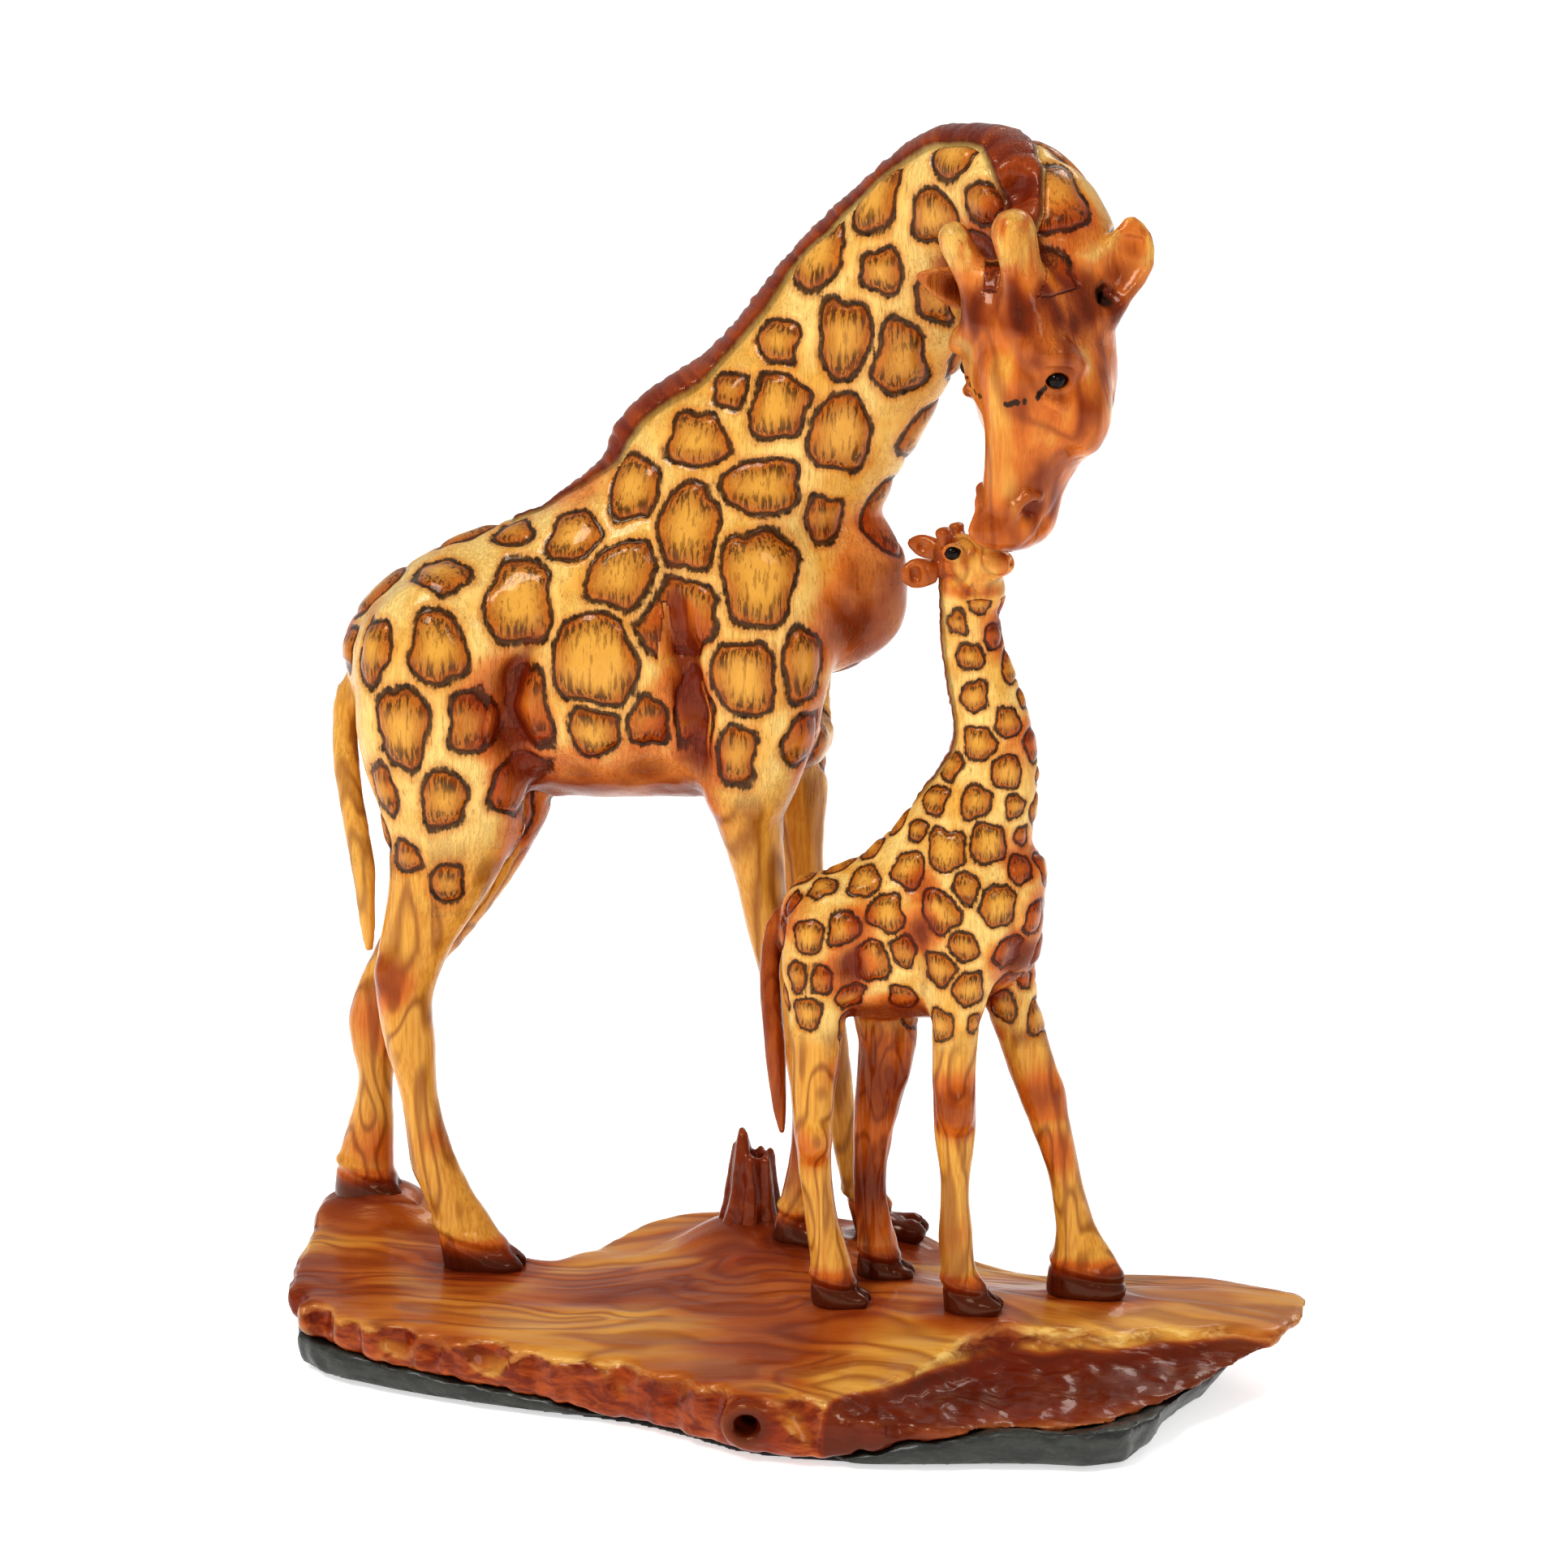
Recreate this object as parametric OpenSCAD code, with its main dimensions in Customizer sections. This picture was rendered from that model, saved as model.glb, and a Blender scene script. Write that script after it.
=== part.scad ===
// Carved giraffe group: a mother giraffe bends her neck down to touch muzzles
// with her calf, both standing on a rough live-edge slab of wood.
// Millimetres. +X is the way the mother walks, +Y is her left, +Z is up.
// The origin is on the ground under the middle of the slab.

/* [Slab] */
// thickness of the cloth pad under the slab
pad_t = 1.0; // [0.5:0.1:2]
// how far the cloth pad is drawn in from the rim
pad_inset = 0.90; // [0.7:0.01:0.98]
// height of the flat parts of the carved top
slab_h = 14.2; // [13.6:0.1:14.8]
// points round the rim of the slab
rim_sides = 64; // [32:4:96]

/* [Joints] */
// diameter of the dowels that hold the mother's legs
hip_dowel_d = 4.0; // [3:0.5:5]
// length of the dowels that hold the mother's legs
hip_dowel_l = 16; // [10:1:18]
// diameter of the pegs under the mother's hooves
hoof_peg_d = 3.0; // [2:0.5:4]
// length of the pegs under the mother's hooves
hoof_peg_l = 11; // [8:1:14]
// diameter of the dowel inside the mother's neck joint
neck_dowel_d = 6.0; // [4:0.5:8]
// length of the dowel inside the mother's neck joint
neck_dowel_l = 20; // [12:1:24]
// diameter of the dowels that hold the calf's legs
calf_dowel_d = 3.0; // [2:0.5:3.5]
// length of the dowels that hold the calf's legs
calf_dowel_l = 12; // [8:1:14]
// diameter of the pegs under the calf's hooves
calf_peg_d = 2.0; // [1.5:0.5:3]
// length of the pegs under the calf's hooves
calf_peg_l = 9; // [6:1:12]
// radial gap between a dowel and its hole
gap = 0.05; // [0.02:0.01:0.2]

/* [Faces] */
// radius of the mother's eyes
eye_r = 1.6; // [1:0.1:2.2]
// radius of the calf's eyes
calf_eye_r = 1.4; // [1:0.1:1.8]

/* [Hidden] */
// a hole is cut this far past the face it opens in
past = 4;
// height of the seam under the middle of the slab
seam_z = 3.5;
// facets round a dowel, a peg or an eye
round_n = 32;

// ---------- helpers: smooth curves, rings and lofted skins ----------

function unit(v) = v / norm(v);
function at(s, i) = s[max(0, min(len(s) - 1, i))];
function curve(p, q, r, s, t) = 0.5 * (2 * q + (r - p) * t
    + (2 * p - 5 * q + 4 * r - s) * t * t + (3 * q - p - 3 * r + s) * t * t * t);
function open_curve(s, n) = [for (i = [0 : len(s) - 2], k = [0 : n - 1])
    curve(at(s, i - 1), s[i], s[i + 1], at(s, i + 2), k / n), s[len(s) - 1]];
function loop_curve(s, n) = [for (k = [0 : n - 1])
    let (u = k * len(s) / n, i = floor(u), m = len(s))
    curve(s[(i + m - 1) % m], s[i % m], s[(i + 1) % m], s[(i + 2) % m], u - i)];
function spot(s) = [s[0], s[1], s[2]];
function pw(c, e) = sign(c) * pow(abs(c), e);

// A station is [x, y, z, half width to the left, half height,
// and optionally the left-hand direction as three more numbers].
function side_of(s) = len(s) > 5 ? [s[5], s[6], s[7]] : [0, 1, 0];
function heading(s, i, first, last) =
    i == 0 && first != undef ? unit(first)
    : i == len(s) - 1 && last != undef ? unit(last)
    : unit(spot(at(s, i + 1)) - spot(at(s, i - 1)));
function ring(st, dir, n, e) =
    let (l0 = side_of(st), l = unit(l0 - (l0 * dir) * dir), u = cross(dir, l))
    [for (k = [0 : n - 1]) let (a = 360 * k / n)
        spot(st) + st[3] * pw(cos(a), e) * l + st[4] * pw(sin(a), e) * u];

// rings of n points each, joined into one closed skin with a hub in each end;
// flip folds each four-sided cell along its other diagonal
module skin(rings, hub0, hub1, flip = false) {
    n = len(rings[0]);
    m = len(rings);
    points = concat([for (r = rings, p = r) p], [hub0, hub1]);
    sides = [for (j = [0 : m - 2], k = [0 : n - 1]) let (k2 = (k + 1) % n)
        each flip ? [[j * n + k, (j + 1) * n + k, j * n + k2],
                     [(j + 1) * n + k, (j + 1) * n + k2, j * n + k2]]
                  : [[j * n + k, (j + 1) * n + k, (j + 1) * n + k2],
                     [j * n + k, (j + 1) * n + k2, j * n + k2]]];
    foot = [for (k = [0 : n - 1]) [m * n, k, (k + 1) % n]];
    top = [for (k = [0 : n - 1])
        [m * n + 1, (m - 1) * n + (k + 1) % n, (m - 1) * n + k]];
    polyhedron(points = points, faces = concat(sides, foot, top), convexity = 8);
}

module loft(stations, n = 16, steps = 2, e = 1, first = undef, last = undef) {
    s = open_curve(stations, steps);
    rings = [for (i = [0 : len(s) - 1]) ring(s[i], heading(s, i, first, last), n, e)];
    skin(rings, spot(s[0]), spot(s[len(s) - 1]));
}

// one solid out of several overlapping lofts
module fused() { resize([0, 0, 0]) union() { children(); } }
// the first child with the shapes of its neighbours cut out of it,
// so that they meet face to face
module fitted() { resize([0, 0, 0]) difference() { children(0); children([1 : $children - 1]); } }

module aim(p, d) {
    translate(p) rotate([0, acos(d[2] / norm(d)), atan2(d[1], d[0])]) children();
}
module rod(p, d, r, back, ahead) {
    aim(p, d) translate([0, 0, -back]) cylinder(r = r, h = back + ahead, $fn = round_n);
}

// ---------- the slab ----------

// rim stations, anticlockwise from the pointed right tip:
// [x, y, height of the top, height where the dark sole starts, sole size]
rim_keys = [
    [96, 15, 15.5, 12.5, 0.76], [80, 23, 15.5, 8, 0.86], [60, 25, 15, 5, 0.93],
    [44, 23, 14.5, 4, 0.95], [29, 29, 15, 4, 0.96], [18, 39, 15.5, 4, 0.96],
    [2, 43, 17, 4, 0.96], [-16, 42, 18, 4, 0.96], [-34, 36, 17.5, 4, 0.96],
    [-47, 21.5, 12.8, 4, 0.97], [-60, 18.5, 12.4, 4, 0.96], [-76, 40, 17, 5, 0.95],
    [-94, 42, 19, 6, 0.94], [-98, 20, 16.5, 6.5, 0.96], [-97.5, 0, 14.5, 7.5, 0.97],
    [-93, -13, 14, 8, 0.98], [-76, -22, 13.5, 6.5, 0.98],
    [-54, -28, 13, 5, 0.98], [-32, -32, 12.5, 2, 0.99],
    [-18, -38, 12.5, 1.8, 0.99], [-5, -45, 12.5, 1.8, 0.99],
    [12, -47, 12, 1.8, 0.99], [28, -46, 11.5, 6, 0.98],
    [46, -43.4, 11.5, 8.5, 0.97], [65, -40, 11.5, 8.5, 0.98],
    [78, -18, 12.5, 8, 0.90], [90, -2, 14, 10, 0.84]];
rim = loop_curve(rim_keys, rim_sides);
hub = [-2, 2];

function hill(x, y, cx, cy, rx, ry, h) =
    h * exp(-pow((x - cx) / rx, 2) - pow((y - cy) / ry, 2));
function ground(x, y) = slab_h
    + hill(x, y, -7, 17, 21, 17, 8) + hill(x, y, 26, -6, 36, 15, 6)
    + hill(x, y, -90, 33, 11, 11, 9) + hill(x, y, 70, 8, 22, 14, 1.5);

function rim_at(f) = [for (r = rim) let (
        x = hub[0] + f * (r[0] - hub[0]), y = hub[1] + f * (r[1] - hub[1]),
        g = ground(x, y), w = pow(f, 6))
    [x, y, (1 - w) * g + w * r[2]]];
function flare(f, k) = [for (r = rim)
    [hub[0] + f * (r[0] - hub[0]), hub[1] + f * (r[1] - hub[1]),
     k * r[2] + (1 - k) * r[3]]];
function seam(f, w) = [for (r = rim) let (s = 1 - (1 - r[4]) * 0.4)
    [hub[0] + f * s * (r[0] - hub[0]), hub[1] + f * s * (r[1] - hub[1]),
     w * r[3] + (1 - w) * seam_z]];
function sole_at(f) = [for (r = rim)
    [hub[0] + f * r[4] * (r[0] - hub[0]), hub[1] + f * r[4] * (r[1] - hub[1]), pad_t]];

module slab_blank() {
    skin([seam(0.3, 0), seam(0.75, 0), seam(1, 1), flare(1.0, 0.45),
          rim_at(1), rim_at(0.94), rim_at(0.8), rim_at(0.62), rim_at(0.42),
          rim_at(0.2)],
         [hub[0], hub[1], seam_z], [hub[0], hub[1], ground(hub[0], hub[1])]);
}
module seat(f) {
    // shallow pocket that a hoof stands in
    grow = 0.12;
    skin([[for (k = [0 : 23]) [f[0] + (f[3] + grow) * cos(15 * k),
                               f[1] + (f[4] + grow) * sin(15 * k), f[2]]],
          [for (k = [0 : 23]) [f[0] + (f[3] + 3) * cos(15 * k),
                               f[1] + (f[4] + 3) * sin(15 * k), f[2] + 14]]],
         [f[0], f[1], f[2]], [f[0], f[1], f[2] + 14]);
}
// feet: [x, y, height of the sole, half length, half width]
mother_feet = [[12, 30.5, 16.4, 5.4, 4.6], [-2.6, 13, 20.6, 5.2, 4.6],
               [-89.8, 32, 18.5, 6.4, 5.4], [-63, 12, 12.4, 7.4, 5.4]];
calf_feet = [[53.4, 3, 17.4, 8.2, 5.2], [33.2, -11, 17.8, 5.2, 4.2],
             [14.9, 3, 18.6, 4.9, 4.2], [8.3, -11, 18.2, 4.8, 4.2]];
stump_foot = [-12.8, 22.5, 20.5, 6.6, 6.0];

module base_slab() {
    color("peru") difference() {
        resize([0, 0, 0]) difference() {
            slab_blank();
            for (f = mother_feet) seat(f);
            for (f = calf_feet) seat(f);
            seat(stump_foot);
        }
        for (f = mother_feet)
            rod(spot(f), [0, 0, 1], hoof_peg_d / 2 + gap, hoof_peg_l / 2, past);
        for (f = calf_feet)
            rod(spot(f), [0, 0, 1], calf_peg_d / 2 + gap, calf_peg_l / 2, past);
        rod(spot(stump_foot), [0, 0, 1], hoof_peg_d / 2 + gap, hoof_peg_l / 2, past);
        // the knot hole in the front edge
        rod([-3.5, -41.5, 7.4], [0.05, -1, 0.15], 2.6, 0, 9);
    }
}
module bark_sole() {
    // dark rough underside, thick at both ends and thin in the middle
    color("darkslategray")
        skin([sole_at(0.3), sole_at(0.75), sole_at(1), seam(1, 1),
              seam(0.75, 0), seam(0.3, 0)],
             [hub[0], hub[1], pad_t], [hub[0], hub[1], seam_z], flip = true);
}
module felt_pad() {
    f = pad_inset;
    low = [for (r = rim) [hub[0] + f * r[4] * (r[0] - hub[0]),
                          hub[1] + f * r[4] * (r[1] - hub[1]), 0]];
    high = [for (p = low) [p[0], p[1], pad_t]];
    color("black") skin([low, high], [hub[0], hub[1], 0], [hub[0], hub[1], pad_t]);
}
module stump() {
    c = stump_foot;
    color("saddlebrown") difference() {
        fused() {
            loft([[c[0], c[1], c[2], c[4], c[3]], [c[0] + 0.5, c[1], 25, 4.8, 5.4],
                  [c[0] + 1, c[1], 31, 4.0, 4.4], [c[0] + 1, c[1], 35.5, 3.8, 4.2]],
                 first = [0, 0, 1], last = [0, 0, 1]);
            loft([[c[0] - 0.6, c[1], 33, 3.0, 2.4], [c[0] - 1.2, c[1], 37.5, 2.2, 1.8],
                  [c[0] - 1.6, c[1], 41, 0.8, 0.6]]);
            loft([[c[0] + 3.4, c[1], 32, 2.6, 1.7], [c[0] + 4.0, c[1], 36, 1.6, 1.0],
                  [c[0] + 4.3, c[1], 38.5, 0.6, 0.4]]);
        }
        rod(spot(c), [0, 0, 1], hoof_peg_d / 2 + gap, past, hoof_peg_l / 2);
    }
}
module stump_peg() {
    color("burlywood")
        rod(spot(stump_foot), [0, 0, 1], hoof_peg_d / 2, hoof_peg_l / 2 - gap,
            hoof_peg_l / 2 - gap);
}

// ---------- the mother ----------

// where each leg is doweled on: [x, y, z, half width, half length]
hips = [[-5.2, 31.5, 106, 6.4, 6.4], [-11.6, 12, 106, 7.2, 6.8],
        [-64.6, 31.8, 106, 8.6, 15.0], [-67.6, 12.2, 106, 9.2, 14.0]];
neck_end = [45.5, -1, 209.5, 10.5, 10.5, 0.848, -0.53, 0];

module mother_blank() {
    union() {
        // barrel of the body, from the rump to the chest
        loft([[-86.4, 22, 123.5, 4.5, 6.5], [-84, 22, 124.5, 9.5, 12.2],
              [-76.5, 22, 127.5, 14.6, 18], [-63, 22, 131, 16, 23.6],
              [-46, 22, 132.8, 16, 28], [-30, 22, 137.2, 16.5, 32.4],
              [-15, 22, 140, 16, 32.6], [-3, 22, 144, 14.5, 26.8],
              [3.6, 22, 143.8, 12, 18.6], [8.4, 22, 140, 8.4, 13],
              [11.6, 22, 137.4, 4.8, 8], [13, 22, 136, 1.8, 3.2]], n = 20, e = 0.94);
        // hump of the withers
        loft([[-34, 22, 160, 6, 8], [-27.5, 22, 168.5, 9, 12.4], [-19, 22, 177, 9, 11.4],
              [-10, 22, 186, 7, 8]], n = 16);
        // neck, up from the withers, over the arch and down to the head
        loft([[-24, 22, 150, 13, 25, 0, 1, 0], [-12, 22, 166, 13.2, 22.8, 0, 1, 0],
              [0, 21.6, 182, 12.3, 20.2, 0.02, 1, 0],
              [10, 20, 197.5, 11.4, 18.6, 0.1, 1, 0.05],
              [20.5, 16.8, 209.6, 10.8, 17.2, 0.18, 0.95, 0.15],
              [31.5, 11.2, 218.4, 10.8, 17.6, 0.28, 0.88, 0.3],
              [40.5, 4.5, 219, 11.4, 14.4, 0.63, 0.55, 0.48],
              [45.2, 0.4, 214.6, 11.2, 12, 0.88, -0.15, 0.3], neck_end],
             n = 20, steps = 2, last = [0, 0, -1]);
        // haunches and shoulders down to the leg joints
        loft([[-71, 29, 136, 9, 11], [-68, 31.2, 121, 9.8, 15.5], hips[2]],
             last = [0, 0, -1]);
        loft([[-71, 15, 136, 9, 11], [-68.6, 12.8, 121, 10.2, 15.6], hips[3]],
             last = [0, 0, -1]);
        loft([[-4, 29, 152, 8, 9], [-7.5, 31, 136, 8.6, 9.6], [-8, 31.8, 120, 7.6, 6.4],
              hips[0]], last = [0, 0, -1]);
        loft([[-7, 15, 154, 8.4, 11], [-8.5, 12.6, 138, 9.4, 13.4],
              [-10.2, 11.8, 120, 8.6, 10.6], hips[1]], last = [0, 0, -1]);
    }
}
tail_root = [-85.6, 22, 126];
module mother_body() {
    color("goldenrod") difference() {
        fitted() {
            mother_blank();
            mother_skull();
            loft(ear_left_path, n = 16, first = ear_dir_left);
            loft(ear_right_path, n = 16, first = ear_dir_right);
            loft(tail_path, n = 12, first = [-1, 0, 0]);
        }
        for (h = hips)
            rod(spot(h), [0, 0, 1], hip_dowel_d / 2 + gap, past, hip_dowel_l / 2);
        rod(spot(neck_end), [0, 0, 1], neck_dowel_d / 2 + gap, past, neck_dowel_l / 2);
        rod(tail_root, [-1, 0, 0], 1.5 + gap, 5, past);
    }
}

// directions of the head: d faces the forehead way, l is the head's left
head_l = [0.848, -0.53, 0];
head_d = [-0.53, -0.848, 0];
function skull(x, y, z, l, d) = [x, y, z] + l * head_l + d * head_d;
horn_root_left = skull(44.6, -3.8, 203, 4.5, 10.6);
horn_root_right = skull(44.6, -3.8, 203, -4.5, 10.6);
horn_dir_left = [-0.22, 0.02, 1];
horn_dir_right = [-0.5, 0.12, 1];
ear_root_left = skull(44.7, -3.4, 204, 10.0, -2);
ear_root_right = skull(44.7, -3.4, 204, -10.0, -2);
ear_dir_left = [0.5, 0.1, 1];
ear_dir_right = [-1, -0.22, 0.3];
eye_left = skull(43.9, -6.4, 194.2, 9.6, 8.8);
eye_right = skull(43.9, -6.4, 194.2, -9.6, 8.8);

module mother_skull() {
    union() {
        loft([neck_end, [44.6, -3, 204.5, 10.8, 12, 0.848, -0.53, 0],
              [44, -5.2, 198.5, 11.6, 13.4, 0.848, -0.53, 0],
              [43.9, -6.5, 192.5, 12, 13.8, 0.848, -0.53, 0],
              [44.2, -7.6, 186.5, 10.6, 12.4, 0.848, -0.53, 0],
              [43, -8.6, 180.5, 7.6, 9.8, 0.848, -0.53, 0],
              [41.4, -9.4, 174.5, 6.0, 8.1, 0.848, -0.53, 0],
              [40.4, -9.8, 168.5, 6.3, 7.3, 0.848, -0.53, 0],
              [39.7, -10, 164.4, 5.6, 6.4, 0.848, -0.53, 0],
              [39.9, -10, 162, 2.8, 3.4, 0.848, -0.53, 0]],
             n = 20, e = 0.86, first = [0, 0, -1]);
        // brow ridges above the eyes
        for (s = [-1, 1])
            translate(skull(44, -5.6, 197.5, 7.4 * s, 7.4)) sphere(r = 4.6, $fn = 12);
    }
}
module mother_head() {
    color("goldenrod") difference() {
        fitted() {
            mother_skull();
            loft(ear_left_path, n = 16, first = ear_dir_left);
            loft(ear_right_path, n = 16, first = ear_dir_right);
            horn_blank(horn_root_left, horn_dir_left, horn_left_radii, 20.5);
            horn_blank(horn_root_right, horn_dir_right, horn_right_radii, 18.5);
        }
        rod(spot(neck_end), [0, 0, 1], neck_dowel_d / 2 + gap, neck_dowel_l / 2, past);
        rod(horn_root_left, horn_dir_left, 1.5 + gap, 5, past);
        rod(horn_root_right, horn_dir_right, 1.5 + gap, 5, past);
        rod(ear_root_left, ear_dir_left, 1.2 + gap, 4, past);
        rod(ear_root_right, ear_dir_right, 1.2 + gap, 4, past);
        translate(eye_left) sphere(r = eye_r + gap, $fn = round_n);
        translate(eye_right) sphere(r = eye_r + gap, $fn = round_n);
    }
}
function go(root, d, k, r) = [root[0] + k * d[0], root[1] + k * d[1],
                              root[2] + k * d[2], r, r, 1, 0.01, 0];
module horn_blank(root, dir, radii, length) {
    d = unit(dir);
    loft([go(root, d, 0, radii[0]), go(root, d, 0.45 * length, radii[1]),
          go(root, d, 0.8 * length, radii[2]), go(root, d, 0.95 * length, 0.72 * radii[2]),
          go(root, d, length, 0.25 * radii[2])], n = 14, first = dir);
}
horn_left_radii = [3.9, 3.4, 4.1];
horn_right_radii = [3.5, 3.0, 3.0];
module mother_horn_left() {
    color("tan") {
        horn_blank(horn_root_left, horn_dir_left, horn_left_radii, 20.5);
        rod(horn_root_left, horn_dir_left, 1.5, 4.6, 2);
    }
}
module mother_horn_right() {
    color("tan") {
        horn_blank(horn_root_right, horn_dir_right, horn_right_radii, 18.5);
        rod(horn_root_right, horn_dir_right, 1.5, 4.6, 2);
    }
}
// an ear: its outer shape with the cup hollowed out, and a tenon behind its root
module ear_of(path, inner, root, dir, tenon, depth, ahead) {
    fused() {
        difference() {
            loft(path, n = 16, first = dir);
            loft(inner, n = 12);
        }
        rod(root, dir, tenon, depth, ahead);
    }
}
function slip(s, d, k) = [s[0] + d[0], s[1] + d[1], s[2] + d[2], s[3] * k, s[4] * k,
                          s[5], s[6], s[7]];
// an ear's stations, given from its root r
function from(r, s) = [r[0] + s[0], r[1] + s[1], r[2] + s[2], s[3], s[4], s[5], s[6], s[7]];
ear_left_path = [for (s = [[0, 0, 0, 2.8, 2.6, 1, 0.1, -0.4],
                           [2.2, 0.9, 4.5, 4.0, 2.4, 1, 0.1, -0.4],
                           [4.2, 1.9, 9.5, 4.9, 2.2, 1, 0.1, -0.4],
                           [4.8, 2.7, 13.6, 3.6, 1.5, 1, 0.1, -0.3],
                           [4.4, 3.1, 16.6, 0.9, 0.6, 1, 0.1, 0]]) from(ear_root_left, s)];
ear_right_path = [for (s = [[0, 0, 0, 2.6, 2.6, 0, 1, 0.2],
                            [-5, -1.4, 1.2, 2.2, 3.8, 0, 1, 0.2],
                            [-10, -2.8, 2.8, 1.9, 4.0, 0, 1, 0.2],
                            [-14, -4.2, 4.2, 1.2, 2.4, 0, 1, 0.2],
                            [-16.6, -5, 5, 0.5, 0.7, 0, 1, 0.2]]) from(ear_root_right, s)];
module mother_ear_left() {
    p = ear_left_path;
    cup = [slip(p[1], [0, -1.9, 0], 0.55), slip(p[2], [0, -1.7, 0], 0.78),
           slip(p[3], [0, -1.2, 0], 0.7)];
    color("sienna") ear_of(p, cup, ear_root_left, ear_dir_left, 1.2, 3.6, 1.5);
}
module mother_ear_right() {
    p = ear_right_path;
    cup = [slip(p[1], [-1, -1.8, 0.4], 0.6), slip(p[2], [0, -1.6, 0.4], 0.72),
           slip(p[3], [0, -1.0, 0.2], 0.6)];
    color("sienna") ear_of(p, cup, ear_root_right, ear_dir_right, 1.2, 3.6, 1.5);
}
module mother_eyes() {
    color("black") {
        translate(eye_left) sphere(r = eye_r, $fn = round_n);
        translate(eye_right) sphere(r = eye_r, $fn = round_n);
    }
}
module mother_neck_dowel() {
    color("burlywood") rod(spot(neck_end), [0, 0, 1], neck_dowel_d / 2,
                           neck_dowel_l / 2 - gap, neck_dowel_l / 2 - gap);
}
tail_path = [[tail_root[0], tail_root[1], tail_root[2], 3.0, 3.0],
             [-88.2, 21.6, 123.6, 2.8, 2.8], [-89.2, 20.2, 115, 2.5, 2.5],
             [-87.6, 17.4, 104, 2.4, 2.4], [-85.0, 14.6, 92, 2.2, 2.2],
             [-83.9, 12.8, 82, 1.6, 1.6], [-83.6, 12, 76, 0.7, 0.7]];
module mother_tail() {
    color("sienna") {
        loft(tail_path, n = 12, first = [-1, 0, 0]);
        rod(tail_root, [-1, 0, 0], 1.5, 4.6, 1.5);
    }
}

module leg_blank(hip, foot, path, n) {
    loft(concat([hip], path, [[foot[0], foot[1], foot[2], foot[4], foot[3]]]),
         n = n, first = [0, 0, -1], last = [0, 0, -1]);
}
// the mother's legs: shapes between hip and hoof, in the order of mother_feet
mother_paths = [
    [[-4.6, 31.8, 92, 4.6, 4.6], [-2.6, 32, 77, 3.8, 3.8], [0.2, 32, 62, 4.0, 4.0],
     [2.6, 31.6, 48, 3.2, 3.2], [5.2, 31, 34, 3.2, 3.2], [9, 30.6, 24, 3.9, 4.1]],
    [[-9.2, 12.6, 94, 5.4, 4.9], [-7.4, 13, 82, 4.6, 4.2], [-3.8, 13, 69.5, 4.2, 4.0],
     [-0.9, 13, 57, 3.9, 3.6], [-0.6, 13, 46, 3.2, 3.1], [-1.4, 13, 34, 3.3, 3.3],
     [-3.1, 13, 26, 3.8, 4.0]],
    [[-67.8, 32, 92, 6.8, 10.8], [-75, 32, 78, 5.2, 8.0], [-82.4, 32, 66, 4.4, 6.2],
     [-87.2, 32, 55, 4.2, 5.8], [-87.0, 32, 45, 3.3, 3.6], [-88.0, 32, 36, 3.6, 4.6],
     [-89.4, 32, 27, 4.4, 5.8]],
    [[-69.4, 12, 92.5, 7.0, 10.4], [-73.8, 12, 81, 5.4, 7.2], [-77.0, 12, 68, 4.6, 5.6],
     [-75.8, 12, 58, 4.2, 5.0], [-74.4, 12, 47.7, 3.4, 3.6], [-72.0, 12, 35, 3.8, 4.6],
     [-68.0, 12, 26, 4.2, 4.8], [-64.6, 12, 18, 4.9, 6.4]]];
module mother_leg(i) {
    color("goldenrod") difference() {
        leg_blank(hips[i], mother_feet[i], mother_paths[i], 16);
        rod(spot(hips[i]), [0, 0, 1], hip_dowel_d / 2 + gap, hip_dowel_l / 2, past);
        rod(spot(mother_feet[i]), [0, 0, 1], hoof_peg_d / 2 + gap, past, hoof_peg_l / 2);
    }
}
module mother_leg_front_left() { mother_leg(0); }
module mother_leg_front_right() { mother_leg(1); }
module mother_leg_hind_left() { mother_leg(2); }
module mother_leg_hind_right() { mother_leg(3); }
module mother_hip_dowels() {
    color("burlywood") for (h = hips)
        rod(spot(h), [0, 0, 1], hip_dowel_d / 2, hip_dowel_l / 2 - gap,
            hip_dowel_l / 2 - gap);
}
module mother_hoof_pegs() {
    color("burlywood") for (f = mother_feet)
        rod(spot(f), [0, 0, 1], hoof_peg_d / 2, hoof_peg_l / 2 - gap,
            hoof_peg_l / 2 - gap);
}

// ---------- the calf ----------

calf_hips = [[38.8, 2, 73.5, 4.2, 5.0], [29.9, -10.4, 73.5, 4.2, 4.5],
             [15, 2.4, 73.5, 4.6, 6.4], [4.2, -9.6, 73.5, 4.8, 5.2]];
calf_neck_end = [31, -3.6, 149.5, 4.5, 5.4, 0, 1, 0];
calf_tail_root = [-1.8, -3, 91.5];

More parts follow.
